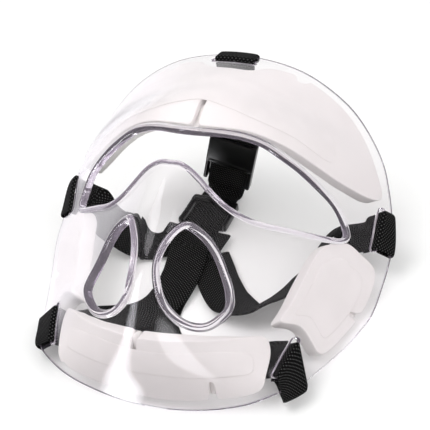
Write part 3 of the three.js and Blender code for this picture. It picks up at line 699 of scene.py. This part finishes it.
# Cuts a notch into a pad's outline, and gives the outline of the notch's floor too
def notched(loop, notch, length, turn):
    middle, inward = place(notch[:2]), notch[2]
    along = np.array([math.cos(turn), math.sin(turn)])
    across = np.array([-along[1], along[0]])
    length, radius = length * notch[3], NOTCH_WIDTH * notch[4] / 2
    offset = loop - middle
    near = np.abs(offset @ across) < radius
    starts = np.flatnonzero(near & ~np.roll(near, 1))
    first = min(starts, key=lambda k: abs(offset[k] @ along))
    order = np.roll(np.arange(len(loop)), -first)
    run = int(np.argmin(near[order]))
    tip = middle + along * inward * (length / 2 - radius)
    enter, leave = loop[order[-1]], loop[order[run]]
    side = across * np.sign((enter - middle) @ across)
    turns = np.linspace(0, math.pi, CORNER_STEPS)
    arc = [tip + radius * (side * math.cos(a) + along * inward * math.sin(a)) for a in turns]
    mouth = (loop[order[:run]].mean(0) - middle) @ along
    start, stop = (middle + side * reach + along * mouth for reach in (radius, -radius))
    wall_in = [start + (arc[0] - start) * t for t in WALL_SHARES]
    wall_out = [arc[-1] + (stop - arc[-1]) * t for t in WALL_SHARES]
    under = [tip + (spot - tip) * (1 + FLOOR_MARGIN / radius) for spot in arc]
    wide = radius + FLOOR_MARGIN
    ends = [middle + side * reach + along * ((corner - middle) @ along + MOUTH_INSET * inward)
            for corner, reach in ((enter, wide), (leave, -wide))]
    under = softened(np.array([ends[0], *under, ends[1]]), *FLOOR_SOFT)
    loop = np.vstack([[enter], wall_in, arc, wall_out, [leave], loop[order[run + 1:-1]]])
    return loop, under if signed_area(under) > 0 else under[::-1]


def pad_outline(shares, count, notches, length, turn, mirrored=False):
    loop, floors = outline(shares, count, mirrored), []
    for notch in notches:
        loop, under = notched(loop, notch, length, turn)
        floors.append(under)
    return loop, floors


# Cut foam has slightly rounded corners
def softened(loop, pitch, passes):
    length = np.linalg.norm(loop - np.roll(loop, 1, 0), axis=1).sum()
    loop = spaced(loop, int(length / pitch), True)
    for _ in range(passes):
        loop = 0.5 * loop + 0.25 * (np.roll(loop, 1, 0) + np.roll(loop, -1, 0))
    return loop


def build_pad(name, loop, floors):
    loop, back = softened(loop, *PAD_SOFT), FOAM_TOP + FOAM_THICKNESS
    edge = rounded_edge(FOAM_TOP, back, *PAD_EDGE, PAD_ROUND_STEPS)
    parts = [sheet([(loop, False, edge)], FOAM_TOP, back, PAD_SPACING)[:2]]
    for under in floors:
        depths = (back - FLOOR_SKIN, FOAM_TOP + NOTCH_DEPTH)
        rings = np.vstack([surface_points(under, depth) for depth in depths])
        parts.append((rings, tube_faces(2, len(under))))
    points, faces = joined(parts)
    pad = add_mesh(name, above_floor(lying(points), FLOOR_GAP), faces, FOAM)


# Edge of a tape: way in from the edge and share of the thickness
TAPE_EDGE = [(1.2, 0), (0.8, 0.1), (0.3, 0.35), (0, 0.65), (0, 0.85), (0.1, 1), (1.2, 1)]


def build_tape(name, loop):
    edge = [(inset, TAPE_TOP + share * TAPE_THICKNESS) for inset, share in TAPE_EDGE]
    loops = [(loop, False, edge)]
    points, faces, _ = sheet(loops, TAPE_TOP, TAPE_TOP + TAPE_THICKNESS, PAD_SPACING)
    add_mesh(name, lying(points), faces, TAPE)


# Webbing: the ring of a section runs over the upper face and back under the lower one
CROSS_COUNT = 25
UPPER_MIDDLE, LOWER_MIDDLE = CROSS_COUNT // 2, CROSS_COUNT + CROSS_COUNT // 2
# The band is flat and rounds off near its edges, where a little thickness is left
EDGE_POWER, EDGE_LIFT = 10, 0.02


def band_section():
    across = np.linspace(-1, 1, CROSS_COUNT)
    lift = WEB_THICKNESS / 2 * np.clip(1 - np.abs(across) ** EDGE_POWER, 0.0, 1) ** 0.5
    top = np.stack([across * WEB_WIDTH / 2, np.maximum(lift, EDGE_LIFT)], 1)
    return np.vstack([top, top[::-1] * (1, -1)])


SECTION = band_section()


def band_mesh(rings):
    count, wide = rings.shape[:2]
    quads = ring_faces(count, wide)
    faces = quads + cap_faces(count, wide)
    far = travelled(rings.mean(1))
    across = np.linspace(0, 1, CROSS_COUNT) * WEB_WIDTH
    across = np.concatenate([across, across[::-1]])
    uvs = np.stack([np.tile(across, count), np.repeat(far, wide)], 1) * MM
    points = rings.reshape(-1, 3)
    a, b, c, d = points[np.array(quads)].transpose(1, 0, 2)
    if np.sum(a * (np.cross(b, c) + np.cross(c, d))) < 0:
        faces = [face[::-1] for face in faces]
    return points, faces, uvs


# How far the rim lies from the slot, under each strand of the strap
def rim_reach(fit, sideways):
    start = fit["middle"] + fit["along"] * (sideways / fit["along_stretch"])
    way = fit["outward"] / fit["out_stretch"] - fit["along"] * (fit["lean"] / fit["along_stretch"])
    reach = 0.0
    for a, b in zip(rim_outline, np.roll(rim_outline, -1, 0)):
        span, toward = b - a, a - start
        turn = cross(way, span)
        if abs(turn) < 1e-9:
            continue
        far, part = cross(toward, span) / turn, cross(toward, way) / turn
        if 0 < far < HALF_WIDTH / 2 and 0 <= part <= 1:
            reach = max(reach, far)
    return reach


# The loop of a strap round the bar between its slot and the rim
def loop_path(fit, far):
    clear = LOOP_CLEARANCE + WEB_THICKNESS / 2
    low, near, drop, path = -WALL - clear, SLOT_WIDTH / 2, fit["drop"], []

    def corner(s, e, start, stop, round_off=0.0):
        reach = clear + round_off
        for angle in np.linspace(start, stop, CORNER_STEPS):
            way, rise = reach * math.cos(angle), reach * math.sin(angle)
            path.append((s - round_off + way, e - round_off + rise, angle))

    def straight(start, stop, steps):
        path.extend(map(tuple, np.linspace(start, stop, steps)))

    ply = near - clear
    back = ply + WEB_THICKNESS + FIT_GAP
    straight((ply, low - drop, math.pi), (ply, low, math.pi), 5)
    corner(near, 0, math.pi, math.pi / 2)
    corner(far, 0, math.pi / 2, 0, LOOP_ROUND)
    corner(far, -WALL, 0, -math.pi / 2)
    path.append((near + WEB_THICKNESS + clear, low, -math.pi / 2))
    path.append((back + clear / 2, low - WEB_THICKNESS / 2, -math.pi / 4))
    straight((back, low - clear, 0.0), (back, low - drop, 0.0), 4)
    return path


# A station has its ring, its middle, the way across the band and the way out of it
def loop_stations(fit):
    stations = []
    strands = [loop_path(fit, rim_reach(fit, sideways) + fit["slack"]) for sideways, _ in SECTION]
    for steps in zip(*strands):
        rows = []
        for (s, e, angle), (sideways, lift) in zip(steps, SECTION):
            out = (s + lift * math.cos(angle)) / fit["out_stretch"]
            up = e + lift * math.sin(angle)
            aside = (sideways - fit["lean"] * s) / fit["along_stretch"]
            foot = fit["middle"] + fit["outward"] * out + fit["along"] * aside
            rows.append((foot[0], foot[1], -up))
        rows = np.array(rows)
        ring = above_floor(lying(surface_points(rows, rows[:, 2])), FLOOR_GAP)
        corners = ring[[0, CROSS_COUNT - 1, CROSS_COUNT, -1]]
        stations.append({
            "ring": ring, "centre": corners.mean(0), "across": unit(corners[1] - corners[0]),
            "up": unit(ring[UPPER_MIDDLE] - ring[LOWER_MIDDLE]),
        })
    return stations


# Part of a span over which the way of a run is measured
AHEAD = 1e-3


def run_stations(stations, centres, ways, steps):
    start, lead = stations[-1], stations[-2]
    knots = np.vstack([lead["centre"], start["centre"], *centres])
    all_ways = [start["across"], *ways]
    spans = len(centres)
    found, side = [], 0.0
    for k in range(1, steps + 1):
        passed = spans * k / steps
        whole = min(int(passed), spans - 1)
        at = 1 + passed
        places = [at, at - AHEAD, min(at + AHEAD, 1 + spans)]
        spot, before, after = catmull(knots, places, False)
        tangent = unit(after - before)
        way = all_ways[whole] * (1 - (passed - whole)) + all_ways[whole + 1] * (passed - whole)
        way = unit(way - tangent * (way @ tangent))
        up = unit(np.cross(way, tangent))
        side = side or math.copysign(1.0, up @ start["up"])
        ring = spot + SECTION[:, :1] * way + SECTION[:, 1:] * up * side
        found.append({"ring": ring, "centre": spot, "across": way, "up": up * side})
    return found


def layer_height(layer):
    return WEB_LIFT + WEB_THICKNESS / 2 + layer * LAYER_PITCH


def row_place(row):
    return np.array([row[0] * HALF_WIDTH, row[1] * HALF_HEIGHT + ROW_SHIFT, layer_height(row[2])])


PATCH_LOW = layer_height(1) + WEB_THICKNESS / 2 + FIT_GAP
PATCH_HIGH = PATCH_LOW + PATCH_SIZE[2]
OVER_PATCH = (PATCH_HIGH + FIT_GAP + WEB_THICKNESS / 2 - layer_height(0)) / LAYER_PITCH
PATCH_SHARES = (-0.215, 0.187)
PATCH_TURN = math.radians(-8)

# Routes: place as shares, height in layers, and the way the width lies
TEMPLE_TAUT = [
    (-0.757, 0.17, 9.9, 0, 1, 0.25), (-0.622, 0.11, 5.4, 0.05, 1, 0.1),
    (-0.527, 0.106, 2.2, 0.05, 1, 0), (-0.448, 0.118, 1, 0, 1, 0), (-0.345, 0.157, 1, -0.12, 1, 0),
]
TEMPLE_SLACK = [
    (0.753, 0.267, 10.16, -0.02, 0.98, -0.1), (0.645, 0.294, 8.32, -0.25, 0.8, -0.55),
    (0.583, 0.228, 6, -0.35, 0.7, -0.62), (0.561, 0.107, 4.7, -0.5, 0.58, -0.62),
    (0.529, -0.031, 4.3, -0.7, 0.45, -0.55), (0.465, -0.171, 4.3, -0.55, 0.6, -0.58),
    (0.394, -0.263, 4.3, -0.3, 0.72, -0.62), (0.309, -0.326, 3.9, 0, 0.8, -0.58),
    (0.175, -0.268, 1.9, 0.4, 0.9, -0.15), (0.056, -0.124, 1.05, 0.75, 0.66, 0),
    (-0.019, 0, 1, 0.86, 0.5, 0), (-0.079, 0.093, 1, 0.9, 0.43, 0),
]
JAW_UNDER = [
    (0.503, -0.624, 4.1, 0.33, 0.94, 0), (0.363, -0.641, 1, -0.21, 0.98, 0),
    (0.2, -0.686, 0, -0.15, 0.99, 0), (0.051, -0.685, 0, 0.24, 0.97, 0),
    (-0.09, -0.616, 0, 0.66, 0.75, 0), (-0.185, -0.489, 0, 0.93, 0.38, 0),
    (-0.211, -0.337, 0, 1, 0.05, 0), (-0.2, -0.166, 0, 1, -0.06, 0),
    (-0.186, 0.02, 0, 1, -0.05, 0), (-0.182, 0.12, 0, 1, -0.03, 0),
]
JAW_OVER = [
    (-0.505, -0.596, 6.2, -0.65, 0.75, 0), (-0.374, -0.507, 3.6, -0.6, 0.8, 0),
    (-0.252, -0.391, 2, -0.75, 0.65, 0), (-0.196, -0.249, 1.7, -0.92, 0.35, 0),
    (-0.182, -0.089, 2.1, -1, 0, 0), (-0.192, 0.036, OVER_PATCH, -1, -0.1, 0),
    (-0.215, 0.16, OVER_PATCH, -1, -0.14, 0), (-0.229, 0.258, OVER_PATCH, -1, -0.14, 0),
]


def build_band(name, stations):
    points, faces, uvs = band_mesh(np.array([station["ring"] for station in stations]))
    add_mesh(name, points, faces, WEB, uvs=uvs)


def build_slot_strap(name, table, steps):
    loop, ways = loop_stations(SLOT_FRAMES[name])[::-1], unit(np.array(table)[:, 3:])
    run = run_stations(loop, [row_place(row) for row in table], ways, steps)
    build_band(f"{name}_strap", loop + run)
    build_tack(f"{name}_bartack", loop[-4], loop[-1])


# Small solids: a flat plan drawn up from low to high, with rounded rims
def rounded_plan(width, length, middle, radius):
    points = []
    for right, up, start in ((1, 1, 0.0), (-1, 1, 0.5), (-1, -1, 1.0), (1, -1, 1.5)):
        for angle in np.linspace(start * math.pi, (start + 0.5) * math.pi, PLAN_STEPS):
            x = middle[0] + right * (width / 2 - radius) + radius * math.cos(angle)
            y = middle[1] + up * (length / 2 - radius) + radius * math.sin(angle)
            points.append((x, y))
    return np.array(points)


def slab(plan, low, high, round_off):
    inward = inward_ways(plan)
    rings = rim_rings(low, high, round_off)
    levels = [np.c_[plan + inward * inset, np.full(len(plan), level)] for inset, level in rings]
    return np.vstack(levels), tube_faces(len(rings), len(plan))


def seated(points, middle, across, along):
    return middle + points @ np.array([across, along, np.cross(across, along)])


# Rings of one stitch: share of its length, thickness and how deep it sinks, as shares too
STITCH_RINGS = [(0.0, 0.35, 0.6), (0.2, 1.0, 0.0), (0.8, 1.0, 0.0), (1.0, 0.35, 0.6)]
THREAD_SIDES = 6
TACK_STITCHES = 11


# One visible stitch of thread, dipping into the webbing at both ends
def stitch(start, stop, up):
    side = np.cross(up, unit(stop - start))
    turns = np.linspace(0, 2 * math.pi, THREAD_SIDES + 1)[:-1]
    points = []
    for share, size, sink in STITCH_RINGS:
        middle = start + (stop - start) * share - up * (THREAD_RADIUS * sink)
        reach = THREAD_RADIUS * size
        points += [middle + (side * math.cos(a) + up * math.sin(a)) * reach for a in turns]
    return np.array(points), tube_faces(len(STITCH_RINGS), THREAD_SIDES)


def build_tack(name, start, stop):
    heart, far = start["ring"][UPPER_MIDDLE], stop["ring"][UPPER_MIDDLE]
    along = unit(far - heart)
    up = unit(heart - start["ring"][LOWER_MIDDLE])
    across = unit(np.cross(along, up))
    middle = heart + (far - heart) * BARTACK_SHARE + up * THREAD_RADIUS
    half, reach = along * (BARTACK_LENGTH / 2), BARTACK_WIDTH / 2 - THREAD_RADIUS
    spots = [middle + across * side for side in np.linspace(-reach, reach, TACK_STITCHES)]
    points, faces = joined([stitch(spot - half, spot + half, up) for spot in spots])
    add_mesh(name, points, faces, THREAD)


# Corner of the plan, rounding of the rims and rise over the bars, for plate and lower edge
PLATE_CORNER, PLATE_ROUND, PLATE_RISE = 1.4, 0.8, 0.3
LIP_CORNER_SHARE, LIP_ROUND, LIP_RISE = 0.9, 0.9, 0.6
BAR_CORNER, BAR_ROUND = 1.0, 0.7
RAIL_CORNER_SHARE, RAIL_ROUND_SHARE = 0.45, 0.42


# Slider: two rounded rails, bars behind the webbing and a plate with a thick lower edge before it
def slider_pieces(length, plate_length, half_stack):
    front = half_stack + SLIDER_CLEARANCE
    inner = WEB_WIDTH / 2 + SLIDER_CLEARANCE
    back = front + BAR_DEPTH
    wide, reach = 2 * inner + RAIL_WIDTH, length / 2
    edge = min(BAR_WIDTH, plate_length) / 2
    heart, low = (0, reach - plate_length / 2), (0, reach - plate_length + edge)
    plate = rounded_plan(wide + RAIL_WIDTH, plate_length, heart, PLATE_CORNER)
    lip = rounded_plan(wide, 2 * edge, low, edge * LIP_CORNER_SHARE)
    pieces = [
        slab(plate, front, back + PLATE_RISE, PLATE_ROUND),
        slab(lip, front, back + LIP_RISE, LIP_ROUND),
    ]
    for side in (-1, 1):
        middle = (side * (inner + RAIL_WIDTH / 2), 0)
        rail = rounded_plan(RAIL_WIDTH, length, middle, RAIL_WIDTH * RAIL_CORNER_SHARE)
        bar = rounded_plan(wide, BAR_WIDTH, (0, side * (reach - BAR_WIDTH / 2)), BAR_CORNER)
        pieces += [
            slab(rail, -back, back, RAIL_WIDTH * RAIL_ROUND_SHARE),
            slab(bar, -back, -front, BAR_ROUND),
        ]
    return joined(pieces)


# Patch: corner and rounding, inset of the inner square of stitches, and the stitches of a side
PATCH_CORNER, PATCH_ROUND, INNER_SQUARE = 1.2, 0.5, 1.9
SIDE_STITCHES, STITCH_SPAN = 6, (0.015, 0.135)


# Patch that joins the straps behind the head, and the two squares sewn on it
def build_patch():
    c, s = math.cos(PATCH_TURN), math.sin(PATCH_TURN)
    right, along = np.array([c, s, 0.0]), np.array([-s, c, 0.0])
    middle = np.array([*(place(PATCH_SHARES) + (0, ROW_SHIFT)), 0.0])
    plan = rounded_plan(*PATCH_SIZE[:2], (0, 0), PATCH_CORNER)
    points, faces = slab(plan, PATCH_LOW, PATCH_HIGH, PATCH_ROUND)
    uvs = points[:, :2][:, ::-1] * MM
    add_mesh("back_patch", seated(points, middle, right, along), faces, WEB, uvs=uvs)
    high = layer_height(OVER_PATCH) + WEB_THICKNESS / 2 + THREAD_RADIUS
    up = np.array([0.0, 0, 1])
    stitches = []
    for inset in (THREAD_RADIUS, INNER_SQUARE):
        half = STITCH_SQUARE / 2 - inset
        corners = np.array([(half, half), (-half, half), (-half, -half), (half, -half)])
        for a, b in zip(corners, np.roll(corners, -1, 0)):
            for k in range(SIDE_STITCHES):
                shares = [k / SIDE_STITCHES + more for more in STITCH_SPAN]
                start, stop = (np.array([*(a + (b - a) * share), high]) for share in shares)
                stitches.append(stitch(start, stop, up))
    points, faces = joined(stitches)
    add_mesh("patch_stitching", seated(points, middle, right, along), faces, THREAD)


# Crown strap: it hangs down from a knee beside its loop, turns and runs on the floor
CROWN_KNEE, CROWN_TOP = (-0.0093, 0.6356, 0.7442), (-0.028, 0.6578, 0.5581)
CROWN_FOOT, CROWN_TURN = (-0.1542, 0.6578, 0.0809), (-0.1664, 0.6507, 0.0409)
CROWN_LANDING, CROWN_END = (-0.1794, 0.6133, 1), (-0.215, 0.2711, 1)
HANG_SHARE, GROUND_SHARE = 0.85, 0.14
FRONT_STEPS, REAR_STEPS = 60, 140


def hang_place(shares):
    x, y, z = shares
    return np.array([x * HALF_WIDTH, y * HALF_HEIGHT + ROW_SHIFT, z * NOSE_HEIGHT])


def build_slider(name, body, sizes, half_stack, spot, across, along):
    points, faces = slider_pieces(*sizes, half_stack)
    add_mesh(name, seated(points, spot, across, along), faces, PLASTIC, body=body)


def build_crown():
    knee, top, foot, turn = (hang_place(p) for p in (CROWN_KNEE, CROWN_TOP, CROWN_FOOT, CROWN_TURN))
    landing, end = row_place(CROWN_LANDING), row_place(CROWN_END)
    down = unit(foot - top)
    hang_way = np.array([-down[2], 0, down[0]])
    along = unit(end - landing)
    ground_way = np.array([-along[1], along[0], 0])
    ply = np.array([0, LAYER_PITCH / 2, 0])
    places = [knee, top, (top + foot) / 2, top + (foot - top) * HANG_SHARE, foot]
    ways = [np.array([1.0, 0, 0])] + [hang_way] * 4
    loop = loop_stations(SLOT_FRAMES["crown"])
    front = run_stations(loop[::-1], [p - ply for p in places], ways, FRONT_STEPS)
    rear = [p + ply for p in places]
    rear += [turn, landing, landing + (end - landing) * GROUND_SHARE, end]
    rear = run_stations(loop, rear, ways + [ground_way] * 4, REAR_STEPS)
    build_band("crown_strap", front[::-1] + loop + rear)
    build_tack("crown_bartack", loop[4], loop[0])
    spot = top + (foot - top) * ((top[2] - BUCKLE_HEIGHT) / (top[2] - foot[2]))
    build_slider("crown_buckle", BUCKLE, (BUCKLE_LENGTH, BUCKLE_PLATE), WEB_THICKNESS + FIT_GAP / 2,
                 spot, hang_way, -down)
    build_slider("rear_slider", SLIDER, (REAR_LENGTH, REAR_PLATE), WEB_THICKNESS / 2,
                 landing + along * REAR_PLACE, ground_way, -along)


# All pieces; the plain numbers are points of an outline or steps of a strap
build_shell()
for name, shares, count, notches in (
    ("forehead_pad", FOREHEAD_PAD_SHARES, 300, FOREHEAD_NOTCH_SHARES),
    ("chin_pad", CHIN_PAD_SHARES, 260, CHIN_NOTCH_SHARES),
):
    build_pad(name, *pad_outline(shares, count, notches, NOTCH_LENGTH, math.pi / 2, True))
side_pad, floors = pad_outline(SIDE_PAD_SHARES, 170, SIDE_NOTCH_SHARES, SIDE_NOTCH_LENGTH, 0.0)
build_pad("side_right_pad", side_pad, floors)
build_pad("side_left_pad", flipped(side_pad), [flipped(under) for under in floors])
build_slot_strap("temple_left", TEMPLE_TAUT, 56)
build_slot_strap("temple_right", TEMPLE_SLACK, 110)
build_slot_strap("jaw_left", JAW_OVER, 84)
build_slot_strap("jaw_right", JAW_UNDER, 120)
build_crown()
build_patch()
build_tape("forehead_tape", outline(FOREHEAD_TAPE_SHARES, 220, mirrored=True))
build_tape("chin_tape", outline(CHIN_TAPE_SHARES, 200, mirrored=True))
side_edge = outline(SIDE_PAD_SHARES, 110)
side_heart = (side_edge.min(0) + side_edge.max(0)) / 2
side_tape = side_heart + (side_edge - side_heart) * SIDE_TAPE_SHARE
build_tape("side_right_tape", side_tape)
build_tape("side_left_tape", flipped(side_tape))


# Floor, light and camera

# One where a ray comes by reflection, nought where it comes through the plastic
def reflected(tree):
    path = node(tree, "ShaderNodeLightPath").outputs
    rays = path["Is Glossy Ray"], path["Is Transmission Ray"]
    return worked(tree, "SUBTRACT", *rays, use_clamp=True)


# Part of a ray's direction that lies in a given way
def facing(tree, way):
    back = node(tree, "ShaderNodeNewGeometry").outputs["Incoming"]
    made = node(tree, "ShaderNodeVectorMath", {0: back}, operation="DOT_PRODUCT")
    made.inputs[1].default_value = [-part for part in way]
    return made.outputs["Value"]


# What the plastic mirrors: pale behind, dark in front, a bright strip, a window and a side glow
def studio_colour(tree):
    def band(way, *stops):
        return ramp(tree, facing(tree, way), stops)

    room = band((0.0, 1.0, -0.6), (0.3, grey(0.02)), (0.5, grey(0.3)), (0.75, grey(0.9)))
    offset = worked(tree, "ABSOLUTE", facing(tree, (0.866, -0.5, -0.17)))
    strip = ramp(tree, offset, [(0.03, (13.0, 13.0, 13.4)), (0.09, grey(0.0))])
    front = band((-0.1, -0.6, -0.8), (0.2, grey(0.0)), (0.45, grey(1.0)))
    window = band((0.02, -0.96, -0.27), (0.975, grey(0.0)), (0.99, grey(9.0)))
    side = band((-0.8, 0.5, -0.33), (0.86, grey(0.0)), (0.97, (0.3, 0.26, 0.34)))
    whole = worked(tree, "MULTIPLY_ADD", strip, front, window, kind="ShaderNodeVectorMath")
    for part in (room, side):
        whole = worked(tree, "ADD", whole, part, kind="ShaderNodeVectorMath")
    return whole


FLOOR_REACH = 3.0


# White floor: it glows a little to the camera, and reflections show the studio in its place
def build_stage():
    mesh = bpy.data.meshes.new("floor")
    corners = [(-1, -1, 0), (1, -1, 0), (1, 1, 0), (-1, 1, 0)]
    mesh.from_pydata((np.array(corners) * FLOOR_REACH).tolist(), [], [(0, 1, 2, 3)])
    floor = added("floor", mesh)
    material, tree, shader = new_material("floor_white")
    shader.inputs["Base Color"].default_value = (0.82, 0.82, 0.815, 1)
    shader.inputs["Roughness"].default_value = 0.9
    shader.inputs["Emission Color"].default_value = (1, 1, 1, 1)
    path = node(tree, "ShaderNodeLightPath").outputs
    seen = worked(tree, "ADD", path["Is Camera Ray"], path["Is Transmission Ray"])
    tree.links.new(worked(tree, "MULTIPLY", seen, 0.17), shader.inputs["Emission Strength"])
    glow = node(tree, "ShaderNodeEmission", {"Color": studio_colour(tree)})
    mix = mixed(tree, reflected(tree), shader, glow)
    tree.links.new(mix.outputs["Shader"], tree.nodes["Material Output"].inputs["Surface"])
    floor.data.materials.append(material)


# Lamps: place, size and power, each turned to the middle of the mask
LAMPS = {
    "key": ((-0.45, -0.35, 1.45), 0.9, 9.5),
    "fill": ((1.1, -0.4, 0.9), 0.8, 4.0),
}
LAMP_AIM = (0, 0, 0.05)


def build_lights():
    world = bpy.data.worlds.new("world")
    world.use_nodes = True
    tree = world.node_tree
    plain = tree.nodes["Background"]
    plain.inputs["Color"].default_value = (1, 1, 1, 1)
    plain.inputs["Strength"].default_value = 0.72
    studio = node(tree, "ShaderNodeBackground", {"Color": studio_colour(tree)})
    mix = mixed(tree, reflected(tree), plain, studio)
    tree.links.new(mix.outputs["Shader"], tree.nodes["World Output"].inputs["Surface"])
    bpy.context.scene.world = world
    for name, (spot, size, power) in LAMPS.items():
        light = bpy.data.lights.new(name, "AREA")
        light.size, light.energy = size, power
        lamp = added(name, light)
        lamp.location = spot
        lamp.rotation_mode = "QUATERNION"
        lamp.rotation_quaternion = (Vector(LAMP_AIM) - Vector(spot)).to_track_quat("-Z", "Y")


# The photograph's camera, in the face frame: right, down and forward ways and the place of the face
CAMERA_WAYS = np.array([
    [0.9469, 0.1992, -0.2523], [0.1139, -0.9419, -0.3161], [-0.3006, 0.2706, -0.9146],
])
CAMERA_SHIFT = np.array([-1.56, 14.42, 899.49])
FOCAL_PIXELS = 1480.0
FRAME_PIXELS = 430.0


def build_camera():
    data = bpy.data.cameras.new("camera")
    data.sensor_width = 36.0
    data.lens = FOCAL_PIXELS / FRAME_PIXELS * data.sensor_width
    camera = added("camera", data)
    spot = lying(-CAMERA_WAYS.T @ CAMERA_SHIFT)
    right, down, forward = lying(CAMERA_WAYS) - lying(np.zeros(3))
    turn = Matrix([right.tolist(), (-down).tolist(), (-forward).tolist()]).transposed()
    camera.matrix_world = Matrix.Translation(Vector(spot * MM)) @ turn.to_4x4()
    data.clip_start, data.clip_end = 0.05, 20.0
    bpy.context.scene.camera = camera


build_stage()
build_lights()
build_camera()
bpy.context.scene.view_settings.view_transform = "Standard"
